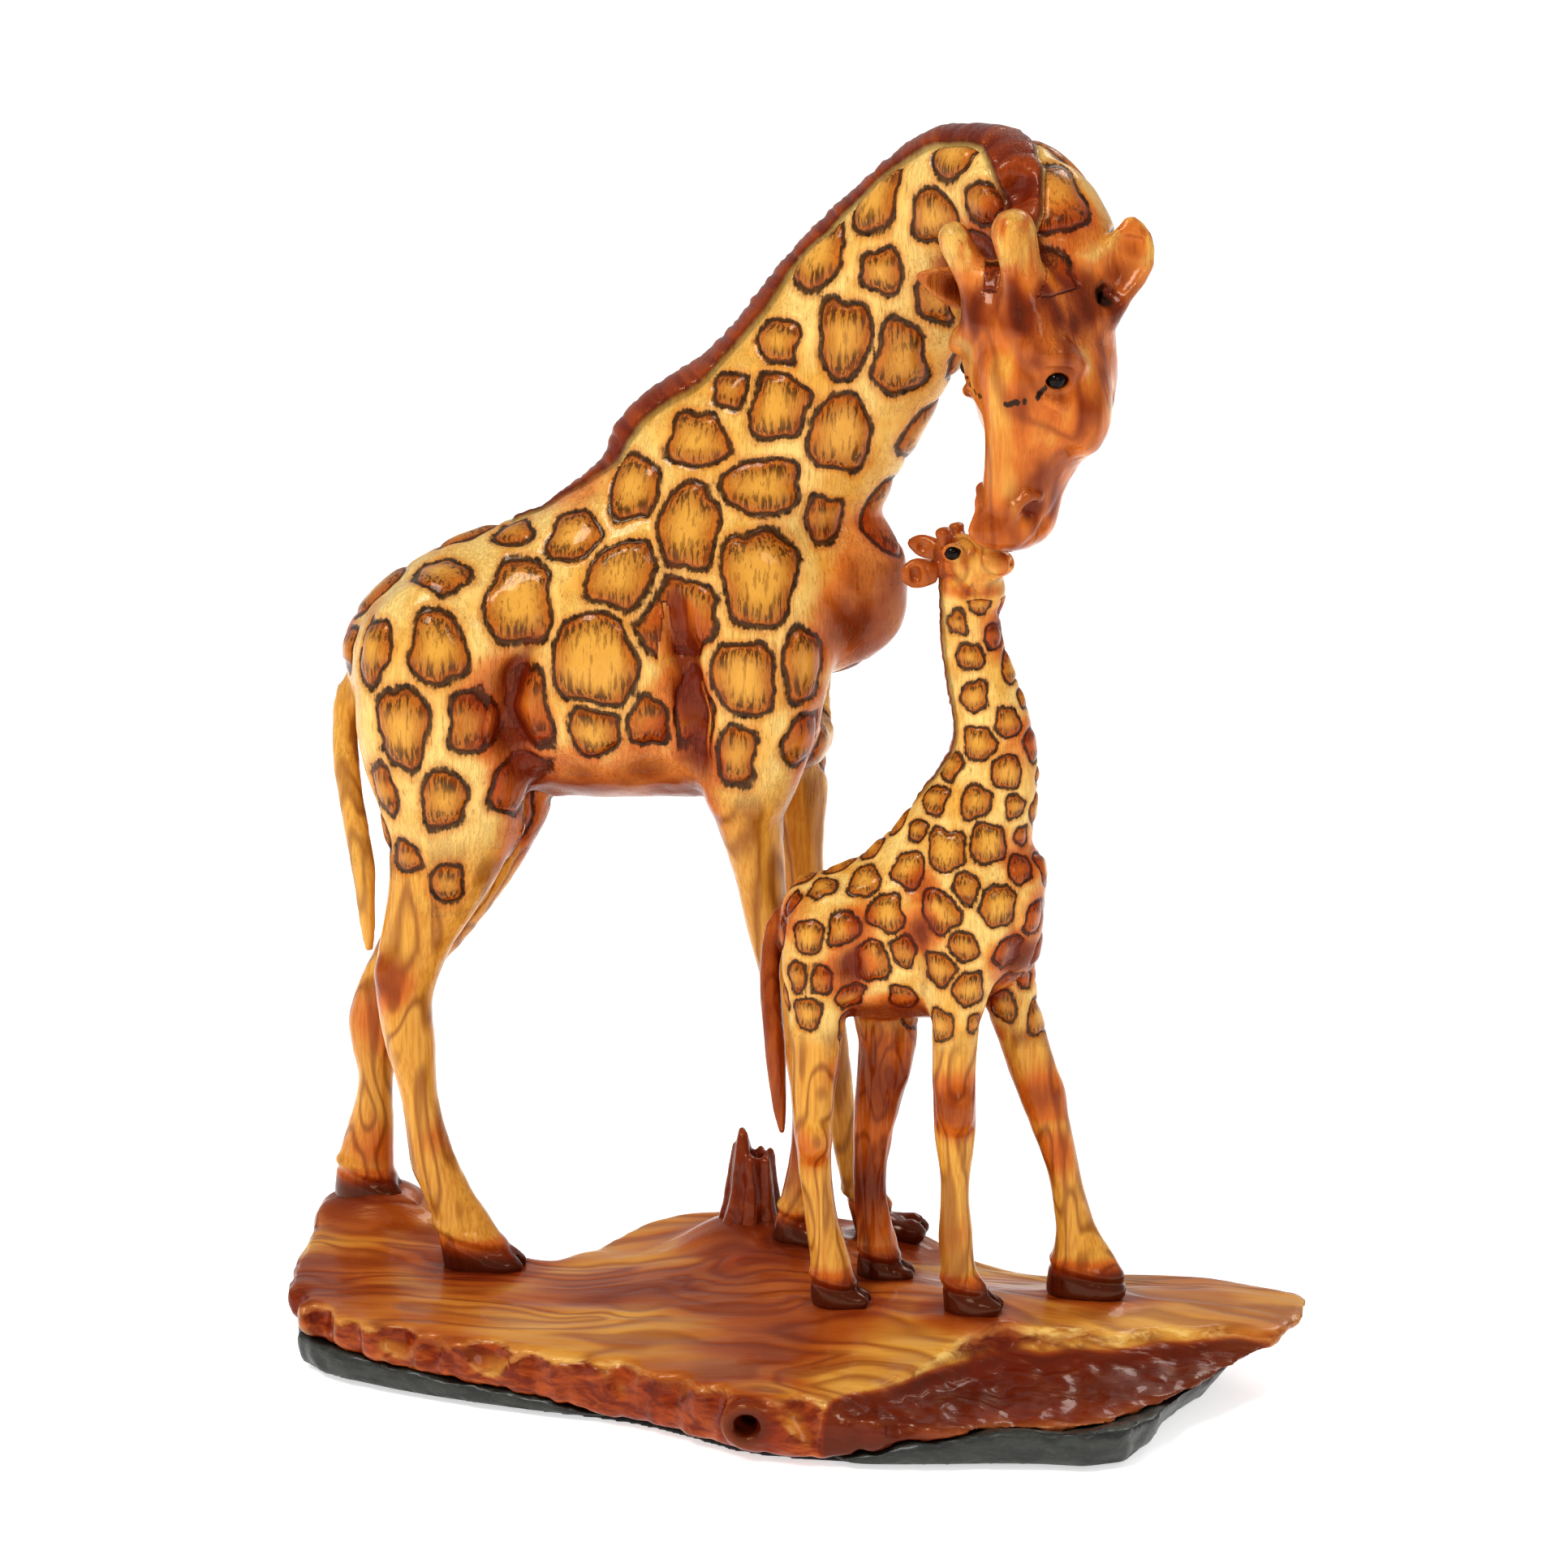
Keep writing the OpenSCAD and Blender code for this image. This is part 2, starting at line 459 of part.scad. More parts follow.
module calf_blank() {
    union() {
        loft([[-2.8, -3, 85.5, 3.5, 5], [0.3, -3, 86, 7, 12], [8, -3, 86, 9.5, 14.2],
              [18, -3, 88, 10.5, 16.6], [28, -3, 91.6, 10.8, 20.4],
              [37, -3, 91, 9.5, 17.6], [42.2, -3, 89, 6.5, 10.4], [44.6, -3, 88.6, 2.5, 4.5]],
             n = 16);
        loft([[27, -3, 99, 9.6, 13.2, 0, 1, 0], [32.6, -3, 111, 7.8, 11, 0, 1, 0],
              [35.6, -3, 121.5, 6.4, 8.2, 0, 1, 0], [35, -3, 129.5, 5.6, 6.9, 0, 1, 0],
              [33, -3.2, 136.5, 5, 6.2, 0, 1, 0], [31.6, -3.4, 143, 4.7, 5.7, 0, 1, 0],
              calf_neck_end], n = 16, last = [0, 0, 1]);
        loft([[35, 0, 90, 4.6, 7], [37.5, 1.6, 81, 4.6, 6], calf_hips[0]],
             n = 14, last = [0, 0, -1]);
        loft([[30, -7, 94, 4.8, 7], [29.8, -9.4, 84, 4.9, 6.2], calf_hips[1]],
             n = 14, last = [0, 0, -1]);
        loft([[10, 0, 90, 5, 7], [13.5, 1.6, 81, 5, 7], calf_hips[2]],
             n = 14, last = [0, 0, -1]);
        loft([[5.5, -6.5, 91, 5, 7], [4.6, -8.8, 82, 5.4, 6.6], calf_hips[3]],
             n = 14, last = [0, 0, -1]);
    }
}
module calf_body() {
    color("goldenrod") difference() {
        fitted() {
            calf_blank();
            loft(calf_tail_path, n = 12, first = [-1, 0, 0]);
            for (i = [0 : 3])
                leg_blank(calf_hips[i], calf_feet[i], calf_paths[i], 14);
        }
        for (h = calf_hips)
            rod(spot(h), [0, 0, 1], calf_dowel_d / 2 + gap, past, calf_dowel_l / 2);
        rod(spot(calf_neck_end), [0, 0, 1], calf_dowel_d / 2 + gap, calf_dowel_l / 2, past);
        rod(calf_tail_root, [-1, 0, 0], 1.0 + gap, 4, past);
    }
}
calf_eye_left = [30.9, -0.6, 160.6];
calf_eye_right = [28.4, -8.5, 160.6];
calf_horn_root_left = [28.6, -2.4, 161.6];
calf_horn_root_right = [27.0, -6.2, 161.4];
calf_ear_root_left = [26.2, -0.6, 158.6];
calf_ear_root_right = [25.4, -6.8, 156.6];
calf_horn_left_dir = [-0.1, 0.1, 1];
calf_horn_right_dir = [-0.2, -0.1, 1];
calf_ear_left_dir = [-1, 0.25, 0.25];
calf_ear_right_dir = [-1, -0.3, 0];
calf_horn_radii = [1.5, 1.4, 1.6];
calf_ear_left_path = [for (s = [[0, 0, 0, 1.6, 1.8, 0.2, 1, 0],
                                [-2.4, 0.6, 0.7, 1.3, 2.2, 0.2, 1, 0],
                                [-4.8, 1.2, 1.2, 1.1, 2.0, 0.2, 1, 0],
                                [-7, 1.7, 1.5, 0.4, 0.6, 0.2, 1, 0]]) from(calf_ear_root_left, s)];
calf_ear_right_path = [for (s = [[0, 0, 0, 1.6, 1.9, 0.2, 1, 0],
                                 [-2.2, -0.7, -0.1, 1.7, 2.7, 0.2, 1, 0],
                                 [-4.4, -1.3, -0.2, 1.5, 2.7, 0.2, 1, 0],
                                 [-6.2, -1.8, -0.2, 0.6, 1.3, 0.2, 1, 0]]) from(calf_ear_root_right, s)];
// radius and depth of the little tenons behind the calf's ears and horns
calf_tenon_r = 0.7;
calf_tenon_l = 2.4;

module calf_skull() {
    union() {
        loft([calf_neck_end, [31.6, -4, 153, 4.6, 6.2, 0, 1, 0],
              [30.8, -4.3, 157.5, 4.4, 5, 0, 1, 0]], n = 16, first = [0, 0, 1]);
        loft([[25.0, -3.0, 158, 1.8, 2.2, 0.34, 0.94, 0],
              [26.8, -3.5, 158.6, 4.2, 4.4, 0.34, 0.94, 0],
              [30.3, -4.7, 158.6, 4.7, 4.9, 0.34, 0.94, 0],
              [34, -6.1, 158.4, 3.7, 3.7, 0.34, 0.94, 0],
              [37, -7.3, 158.6, 2.9, 2.6, 0.34, 0.94, 0],
              [38.6, -8.0, 158.7, 2.1, 2.0, 0.34, 0.94, 0],
              [39.4, -8.3, 158.8, 1, 1, 0.34, 0.94, 0]], n = 16);
    }
}
module calf_head() {
    color("goldenrod") difference() {
        fitted() {
            calf_skull();
            loft(calf_ear_left_path, n = 16, first = calf_ear_left_dir);
            loft(calf_ear_right_path, n = 16, first = calf_ear_right_dir);
            horn_blank(calf_horn_root_left, calf_horn_left_dir, calf_horn_radii, 3.2);
            horn_blank(calf_horn_root_right, calf_horn_right_dir, calf_horn_radii, 3.2);
        }
        rod(spot(calf_neck_end), [0, 0, 1], calf_dowel_d / 2 + gap, past, calf_dowel_l / 2);
        rod(calf_horn_root_left, calf_horn_left_dir, calf_tenon_r + gap, calf_tenon_l, past);
        rod(calf_horn_root_right, calf_horn_right_dir, calf_tenon_r + gap, calf_tenon_l, past);
        rod(calf_ear_root_left, calf_ear_left_dir, calf_tenon_r + gap, calf_tenon_l, past);
        rod(calf_ear_root_right, calf_ear_right_dir, calf_tenon_r + gap, calf_tenon_l, past);
        translate(calf_eye_left) sphere(r = calf_eye_r + gap, $fn = round_n);
        translate(calf_eye_right) sphere(r = calf_eye_r + gap, $fn = round_n);
    }
}
module calf_neck_dowel() {
    color("burlywood") rod(spot(calf_neck_end), [0, 0, 1], calf_dowel_d / 2,
                           calf_dowel_l / 2 - gap, calf_dowel_l / 2 - gap);
}
module calf_horn_left() {
    color("tan") {
        horn_blank(calf_horn_root_left, calf_horn_left_dir, calf_horn_radii, 3.2);
        rod(calf_horn_root_left, calf_horn_left_dir, calf_tenon_r, calf_tenon_l - gap, 1);
    }
}
module calf_horn_right() {
    color("tan") {
        horn_blank(calf_horn_root_right, calf_horn_right_dir, calf_horn_radii, 3.2);
        rod(calf_horn_root_right, calf_horn_right_dir, calf_tenon_r, calf_tenon_l - gap, 1);
    }
}
module calf_ear_left() {
    p = calf_ear_left_path;
    cup = [slip(p[1], [-0.6, -1.1, 0.1], 0.5), slip(p[2], [0, -0.8, 0], 0.55)];
    color("sienna") ear_of(p, cup, calf_ear_root_left, calf_ear_left_dir,
                           calf_tenon_r, calf_tenon_l - gap, 1);
}
module calf_ear_right() {
    p = calf_ear_right_path;
    cup = [slip(p[1], [-0.4, -1.2, 0], 0.55), slip(p[2], [0, -1.0, 0], 0.68)];
    color("sienna") ear_of(p, cup, calf_ear_root_right, calf_ear_right_dir,
                           calf_tenon_r, calf_tenon_l - gap, 1);
}
module calf_eyes() {
    color("black") {
        translate(calf_eye_left) sphere(r = calf_eye_r, $fn = round_n);
        translate(calf_eye_right) sphere(r = calf_eye_r, $fn = round_n);
    }
}
calf_tail_path = [[calf_tail_root[0], calf_tail_root[1], calf_tail_root[2], 2.0, 2.0],
                  [-4.3, -3.8, 88.4, 1.7, 1.7], [-4.9, -5.6, 80, 1.9, 1.9],
                  [-3.9, -7.6, 70, 2.2, 2.0], [-2.9, -9.2, 60, 1.8, 1.7],
                  [-2.0, -10, 51, 0.6, 0.6]];
module calf_tail() {
    color("sienna") {
        loft(calf_tail_path, n = 12, first = [-1, 0, 0]);
        rod(calf_tail_root, [-1, 0, 0], 1.0, 3.6, 1);
    }
}
// the calf's legs: shapes between hip and hoof, in the order of calf_feet
calf_paths = [
    [[41, 2.6, 67, 3.9, 4.6], [44.6, 3, 55.7, 3.6, 4.2], [48.4, 3, 43.2, 2.9, 3.2],
     [51, 3, 31, 3.2, 3.6], [52.4, 3, 24.3, 4.2, 6.4]],
    [[29.7, -10.8, 65, 3.9, 4.1], [30, -11, 53.4, 3.7, 3.9], [30.1, -11, 46, 2.9, 3.0],
     [30.1, -11, 40, 2.7, 2.7], [30.2, -11, 33, 3.0, 3.3], [30.8, -11, 26.5, 3.2, 3.3],
     [32.2, -11, 21.5, 3.8, 4.4]],
    [[16, 2.8, 65, 4.3, 5.6], [14, 3, 54.5, 3.7, 4.6], [12.6, 3, 42, 2.9, 3.4],
     [13.1, 3, 33, 2.9, 3.2], [14.2, 3, 25.5, 3.4, 3.8]],
    [[4.1, -10.4, 66, 4.3, 4.7], [3.8, -11, 58, 3.8, 4.0], [4, -11, 50, 3.2, 3.5],
     [4.5, -11, 42.5, 2.9, 3.1], [5.6, -11, 34, 3.0, 3.2], [7.2, -11, 26.5, 3.4, 3.9]]];
module calf_leg(i) {
    color("goldenrod") difference() {
        leg_blank(calf_hips[i], calf_feet[i], calf_paths[i], 14);
        rod(spot(calf_hips[i]), [0, 0, 1], calf_dowel_d / 2 + gap, calf_dowel_l / 2, past);
        rod(spot(calf_feet[i]), [0, 0, 1], calf_peg_d / 2 + gap, past, calf_peg_l / 2);
    }
}
module calf_leg_front_left() { calf_leg(0); }
module calf_leg_front_right() { calf_leg(1); }
module calf_leg_hind_left() { calf_leg(2); }
module calf_leg_hind_right() { calf_leg(3); }
module calf_hip_dowels() {
    color("burlywood") for (h = calf_hips)
        rod(spot(h), [0, 0, 1], calf_dowel_d / 2, calf_dowel_l / 2 - gap,
            calf_dowel_l / 2 - gap);
}
module calf_hoof_pegs() {
    color("burlywood") for (f = calf_feet)
        rod(spot(f), [0, 0, 1], calf_peg_d / 2, calf_peg_l / 2 - gap,
            calf_peg_l / 2 - gap);
}

base_slab();
bark_sole();
felt_pad();
stump();
stump_peg();
mother_body();
mother_head();
mother_neck_dowel();
mother_ear_left();
mother_ear_right();
mother_horn_left();
mother_horn_right();
mother_eyes();
mother_tail();
mother_leg_front_left();
mother_leg_front_right();
mother_leg_hind_left();
mother_leg_hind_right();
mother_hip_dowels();
mother_hoof_pegs();
calf_body();
calf_head();
calf_neck_dowel();
calf_ear_left();
calf_ear_right();
calf_horn_left();
calf_horn_right();
calf_eyes();
calf_tail();
calf_leg_front_left();
calf_leg_front_right();
calf_leg_hind_left();
calf_leg_hind_right();
calf_hip_dowels();
calf_hoof_pegs();
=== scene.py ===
import itertools
import math

import bpy
import numpy as np
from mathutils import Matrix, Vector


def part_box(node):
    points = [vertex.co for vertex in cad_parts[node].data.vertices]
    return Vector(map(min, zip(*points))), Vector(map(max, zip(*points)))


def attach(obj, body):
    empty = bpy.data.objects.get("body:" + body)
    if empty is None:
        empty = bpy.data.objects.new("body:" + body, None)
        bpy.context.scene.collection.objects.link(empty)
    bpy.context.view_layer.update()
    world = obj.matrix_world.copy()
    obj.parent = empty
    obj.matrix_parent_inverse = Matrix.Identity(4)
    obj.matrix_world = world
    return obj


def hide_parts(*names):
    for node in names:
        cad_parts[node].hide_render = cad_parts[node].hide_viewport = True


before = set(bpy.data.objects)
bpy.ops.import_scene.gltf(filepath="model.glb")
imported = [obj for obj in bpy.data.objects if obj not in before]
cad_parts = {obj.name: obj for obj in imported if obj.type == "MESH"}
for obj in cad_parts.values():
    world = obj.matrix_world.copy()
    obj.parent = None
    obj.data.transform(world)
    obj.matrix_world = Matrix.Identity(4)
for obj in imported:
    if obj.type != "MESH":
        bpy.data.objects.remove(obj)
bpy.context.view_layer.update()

import openvdb as vdb
from mathutils import Vector

# Lengths in this script are millimetres, in the row frame: +X is the way the mother
# walks, +Y is her left, +Z is up. MM turns them into Blender's metres.
MM = 0.001
MOTHER_CELL = 0.6
HEAD_CELL = 0.35
CALF_CELL = 0.35
SLAB_CELL = 0.7
# a field knows its distance to the surface up to FAR
FAR = 4.0
# rounds of voting on whose skin a face is
VOTES = 14
# how deep in a spot a place is that lies in none
NO_SPOT = -9.0
# the most spots that are added in the gaps between the placed ones
MOST_EXTRA_SPOTS = 90
# how far the middle of a closed rim is sunk under the skin
RIM_SINK = 2.0


# ---------- fields: blocks of space that hold the distance to a surface ----------

class Grid:
    """A box of space cut into equal cells. Its points are whole multiples of the cell."""

    def __init__(self, low, high, cell):
        self.cell = cell
        self.low = np.floor(np.array(low) / cell).astype(int)
        self.shape = tuple(np.ceil(np.array(high) / cell).astype(int) - self.low + 1)

    def window(self, low, high):
        """The slices and the coordinates of the part of the grid from low to high."""
        first = np.floor(np.array(low) / self.cell).astype(int) - self.low
        last = np.ceil(np.array(high) / self.cell).astype(int) - self.low + 1
        first = np.clip(first, 0, self.shape)
        last = np.clip(last, 0, self.shape)
        slices = tuple(slice(a, b) for a, b in zip(first, last))
        axes = [(np.arange(a, b) + o) * self.cell for a, b, o in zip(first, last, self.low)]
        return slices, np.ix_(*axes)


def node_shape(name):
    """A CAD node's corners in millimetres and its triangles."""
    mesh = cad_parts[name].data
    mesh.calc_loop_triangles()
    points = np.empty(len(mesh.vertices) * 3, np.float32)
    mesh.vertices.foreach_get("co", points)
    triangles = np.empty(len(mesh.loop_triangles) * 3, np.int32)
    mesh.loop_triangles.foreach_get("vertices", triangles)
    return points.reshape(-1, 3) / MM, triangles.reshape(-1, 3).astype(np.uint32)


class Part:
    """The distance to one CAD node, kept only in the box round that node."""

    def __init__(self, grid, name):
        points, triangles = node_shape(name)
        transform = vdb.createLinearTransform(voxelSize=grid.cell)
        level = vdb.FloatGrid.createLevelSetFromPolygons(
            points, triangles=triangles, transform=transform, halfWidth=FAR / grid.cell)
        self.grid = grid
        self.slices, _ = grid.window(points.min(0) - FAR, points.max(0) + FAR)
        start = [s.start for s in self.slices]
        shape = [s.stop - s.start for s in self.slices]
        self.field = np.full(shape, FAR, np.float32)
        if self.field.size:
            level.copyToArray(self.field, ijk=tuple(int(v) for v in start + grid.low))
        self.corner = (start + grid.low) * grid.cell

    def distance(self, places):
        return sample(self.field, self.corner, self.grid.cell, places, FAR)


def cube_corners(i, f):
    """The eight corners round each place in whole cells i, and how much each counts when the
    place is f of the way through its cell."""
    for dx, dy, dz in itertools.product((0, 1), repeat=3):
        weight = abs(1 - dx - f[:, 0]) * abs(1 - dy - f[:, 1]) * abs(1 - dz - f[:, 2])
        yield (i[:, 0] + dx, i[:, 1] + dy, i[:, 2] + dz), weight


def sample(field, corner, cell, places, outside):
    """The field's value at each place, by straight-line steps between its points."""
    u = (places - corner) / cell
    inside = np.all((u >= 0) & (u < np.array(field.shape) - 1.001), axis=1)
    u = np.where(inside[:, None], u, 0)
    i = u.astype(int)
    total = np.zeros(len(places), np.float32)
    for spot, weight in cube_corners(i, u - i):
        total += weight * field[spot]
    return np.where(inside, total, outside)


def melt(a, b, k):
    """Union of two fields with a fillet about k wide between them."""
    h = np.clip(0.5 + 0.5 * (b - a) / k, 0, 1)
    return b + (a - b) * h - k * h * (1 - h)


def soften(field, cells):
    """Blurs a field in place by about that many cells, in passes over its three axes."""
    for _ in range(round(2 * cells ** 2)):
        for axis in range(3):
            moved = np.moveaxis(field, axis, 0)
            middle = 0.25 * moved[:-2] + 0.5 * moved[1:-1] + 0.25 * moved[2:]
            moved[1:-1] = middle
    return field


class Clay:
    """A figure being shaped: a field that lumps are added to and grooves cut from."""

    def __init__(self, grid):
        self.grid = grid
        self.parts = {}
        self.field = np.full(grid.shape, FAR, np.float32)

    def add(self, names, k):
        """Melts CAD nodes into the figure."""
        for name in names:
            part = Part(self.grid, name)
            if part.field.size == 0:
                continue
            self.parts[name] = part
            block = self.field[part.slices]
            self.field[part.slices] = melt(block, part.field, k)

    def soften(self, size, swell=0.0):
        """Rounds off what is finer than size, and swells the figure a little."""
        soften(self.field, size / self.grid.cell)
        self.field -= swell

    def crease(self, points, size):
        """Above 0 in hollows and grooves, below 0 on ridges."""
        blurred = soften(self.field.copy(), size / self.grid.cell)
        corner = self.grid.low * self.grid.cell
        return -sample(blurred, corner, self.grid.cell, points, 0.0)

    def _apply(self, low, high, reach, shape, k, cut):
        slices, axes = self.grid.window(np.array(low) - reach, np.array(high) + reach)
        if min(s.stop - s.start for s in slices) < 1:
            return
        block = self.field[slices]
        d = shape(*axes).astype(np.float32)
        self.field[slices] = -melt(-block, d, k) if cut else melt(block, d, k)

    def egg(self, centre, radii, k=2.0, cut=False):
        """Adds or cuts an egg shape."""
        c, r = np.array(centre, float), np.array(radii, float)

        def shape(x, y, z):
            q = np.sqrt(((x - c[0]) / r[0]) ** 2 + ((y - c[1]) / r[1]) ** 2
                        + ((z - c[2]) / r[2]) ** 2)
            return (q - 1) * r.min()
        self._apply(c - r, c + r, k + 2, shape, k, cut)

    def bar(self, a, b, ra, rb=None, k=1.5, cut=False):
        """Adds or cuts a round bar from a to b, whose radius goes from ra to rb."""
        a, b = np.array(a, float), np.array(b, float)
        rb = ra if rb is None else rb
        line = b - a
        length = max(float(line @ line), 1e-9)

        def shape(x, y, z):
            t = ((x - a[0]) * line[0] + (y - a[1]) * line[1] + (z - a[2]) * line[2]) / length
            t = np.clip(t, 0, 1)
            d = np.sqrt((x - a[0] - t * line[0]) ** 2 + (y - a[1] - t * line[1]) ** 2
                        + (z - a[2] - t * line[2]) ** 2)
            return d - (ra + (rb - ra) * t)
        widest = max(ra, rb)
        self._apply(np.minimum(a, b) - widest, np.maximum(a, b) + widest, k + 2, shape, k, cut)

    def path(self, points, radii, k=1.5, cut=False):
        """Adds or cuts a chain of bars."""
        for a, b, ra, rb in zip(points, points[1:], radii, radii[1:]):
            self.bar(a, b, ra, rb, k, cut)

    def skin(self):
        """The surface as points in millimetres and four-sided faces that look outward."""
        level = vdb.FloatGrid(FAR)
        level.transform = vdb.createLinearTransform(voxelSize=self.grid.cell)
        level.copyFromArray(self.field, ijk=tuple(int(v) for v in self.grid.low))
        points, quads = level.convertToQuads(0.0)
        points = points.astype(float)
        quads = quads.astype(np.int64)
        if signed_volume(points, quads) < 0:
            quads = quads[:, ::-1]
        return keep_largest(points, quads)


def signed_volume(points, quads):
    a, b, c, d = (points[quads[:, i]] for i in range(4))
    return float((np.cross(b, c) * a).sum() + (np.cross(c, d) * a).sum())


def keep_largest(points, quads):
    """Drops crumbs and sealed pockets: only the largest connected surface stays."""
    label = np.arange(len(points))
    while True:
        low = label[quads].min(1)
        new = label.copy()
        for i in range(4):
            np.minimum.at(new, quads[:, i], low)
        new = new[new]
        if (new == label).all():
            break
        label = new
    names, counts = np.unique(label[quads[:, 0]], return_counts=True)
    kept = quads[label[quads[:, 0]] == names[counts.argmax()]]
    used, flat = np.unique(kept, return_inverse=True)
    return points[used], flat.reshape(-1, 4)


def normals_of(points, quads):
    """Outward directions at the points."""
    p = points[quads]
    face = np.cross(p[:, 2] - p[:, 0], p[:, 3] - p[:, 1])
    total = np.zeros_like(points)
    for i in range(4):
        for axis in range(3):
            total[:, axis] += np.bincount(quads[:, i], face[:, axis], len(points))
    return total / np.maximum(np.linalg.norm(total, axis=1, keepdims=True), 1e-12)


# ---------- noise and small curves ----------

def ease(value, low, high):
    """0 below low, 1 above high, and smooth between them."""
    t = np.clip((value - low) / (high - low), 0, 1)
    return t * t * (3 - 2 * t)


def bell(value, width):
    return np.exp(-(value / width) ** 2)


def scatter(i, j, k, seed):
    """A repeatable number from 0 to 1 for each whole-number place."""
    h = (i * 374761393 + j * 668265263 + k * 2147483647 + seed * 1274126177) & 0xFFFFFFFF
    h = ((h ^ (h >> 13)) * 1274126177) & 0xFFFFFFFF
    return ((h ^ (h >> 16)) & 0xFFFF) / 65535.0


def noise(places, size, seed=0):
    """Smooth noise from -1 to 1. size is the width of its lumps, one number or three."""
    u = places / np.array(size, float)
    i = np.floor(u).astype(np.int64)
    f = u - i
    total = np.zeros(len(places))
    for spot, weight in cube_corners(i, f * f * (3 - 2 * f)):
        total += weight * scatter(*spot, seed)
    return 2 * total - 1


def inside_band(places, line):
    """How far inside a band each place is, and how far along the band. The band follows
    straight pieces between points, each x, y, z and half width."""
    best = np.full(len(places), -1e9)
    along = np.zeros(len(places))
    start = 0.0
    for first, second in zip(line, line[1:]):
        a, b = np.array(first[:3], float), np.array(second[:3], float)
        d = b - a
        t = np.clip((places - a) @ d / (d @ d), 0, 1)
        width = first[3] + t * (second[3] - first[3])
        depth = width - np.linalg.norm(places - a - t[:, None] * d, axis=1)
        length = np.linalg.norm(d)
        along = np.where(depth > best, start + t * length, along)
        best = np.maximum(best, depth)
        start += length
    return best, along


def hair_strokes(depth, along, width):
    """Locks of hair that run across a band, about width apart."""
    bend = along + 0.35 * depth
    across = np.stack([bend, depth, 0 * depth], axis=1)
    locks = noise(across, (width, 4 * width, 9), 81)
    return locks + 0.6 * noise(across, (0.5 * width, 3 * width, 9), 82)


def patches(places, spots):
    """Sum of soft round patches: each is (x, y, z, radius, strength)."""
    total = np.zeros(len(places))
    for x, y, z, radius, strength in spots:
        d = np.linalg.norm(places - np.array([x, y, z]), axis=1)
        total = np.maximum(total, strength * bell(d, radius))
    return total


# ---------- building Blender meshes ----------

def close_rims(points, normals, marks, quads):
    """Closes every open rim with a fan of triangles round a point sunk below its middle."""
    caps = []
    for rim in open_rims(quads):
        reach = np.linalg.norm(points[rim] - points[rim].mean(0), axis=1).mean()
        outward = normals[rim].mean(0)
        heart = points[rim].mean(0) - min(RIM_SINK, reach) * outward
        caps += [(a, b, len(points)) for a, b in zip(rim, rim[1:] + rim[:1])]
        points = np.vstack([points, heart])
        normals = np.vstack([normals, normals[rim[0]]])
        marks = {key: np.append(values, values[rim].mean()) for key, values in marks.items()}
    return points, normals, marks, np.array(caps, int).reshape(-1, 3)


def make_piece(name, points, quads, normals, marks, node, material):
    """A Blender object from points in millimetres, riding on the root and standing for a node.
    marks are numbers per point that its material reads."""
    points, normals, marks, caps = close_rims(points, normals, marks, quads)
    mesh = bpy.data.meshes.new(name)
    mesh.vertices.add(len(points))
    mesh.vertices.foreach_set("co", (points * MM).astype(np.float32).ravel())
    loops = [quads.ravel(), caps.ravel()]
    sizes = np.array([4] * len(quads) + [3] * len(caps))
    starts = np.concatenate([[0], np.cumsum(sizes)[:-1]])
    mesh.loops.add(int(sizes.sum()))
    mesh.loops.foreach_set("vertex_index", np.concatenate(loops).astype(np.int32))
    mesh.polygons.add(len(sizes))
    mesh.polygons.foreach_set("loop_start", starts.astype(np.int32))
    mesh.update(calc_edges=True)
    mesh.polygons.foreach_set("use_smooth", np.arange(len(sizes)) < len(quads))
    for key, values in marks.items():
        mark = mesh.attributes.new(key, "FLOAT", "POINT")
        mark.data.foreach_set("value", values.astype(np.float32))
    mesh.validate()
    mesh.normals_split_custom_set_from_vertices(normals.tolist())
    mesh.materials.append(material)
    piece = bpy.data.objects.new(name, mesh)
    bpy.context.scene.collection.objects.link(piece)
    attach(piece, "root")
    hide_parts(node)


def open_rims(quads):
    """The open edges of a surface as closed chains of points, ready to be capped."""
    count = int(quads.max()) + 1
    starts = quads.ravel()
    ends = np.roll(quads, -1, axis=1).ravel()
    forward = starts * count + ends
    backward = ends * count + starts
    is_open = ~np.isin(forward, backward)
    follow = {}
    for a, b in zip(ends[is_open].tolist(), starts[is_open].tolist()):
        follow.setdefault(a, []).append(b)
    rims = []
    while follow:
        first = next(iter(follow))
        rim, here = [], first
        while here in follow:
            rim.append(here)
            onward = follow[here].pop()
            if not follow[here]:
                del follow[here]
            here = onward
            if here == first:
                break
        if len(rim) > 2:
            rims.append(rim)
    return rims


def split_pieces(points, quads, normals, marks, owners, table, prefix):
    """Cuts one surface into pieces along the lines where the owning node changes.
    table gives each piece's node, slot and material."""
    for index, (node, slot_name, material) in enumerate(table):
        mine = quads[owners == index]
        if len(mine) == 0:
            continue
        used, flat = np.unique(mine, return_inverse=True)
        own_marks = {key: values[used] for key, values in marks.items()}
        make_piece(prefix + node, points[used], flat.reshape(-1, 4), normals[used], own_marks,
                   node, material)


def owners_of(points, quads, parts, names):
    """For each face, the number of the node that it is nearest to. Neighbouring faces vote
    over and over, so that no crumbs of one node are left lying in the skin of another."""
    middle = points[quads].mean(1)
    distance = np.stack([parts[n].distance(middle) for n in names])
    votes = (distance.argmin(0)[:, None] == np.arange(len(names))).astype(float)
    corners = quads.ravel()
    meeting = np.maximum(np.bincount(corners, minlength=len(points)), 1)
    for _ in range(VOTES):
        for index in range(len(names)):
            at_points = np.bincount(corners, np.repeat(votes[:, index], 4), len(points)) / meeting
            votes[:, index] = at_points[quads].mean(1)
    return votes.argmax(1)


# ---------- materials ----------

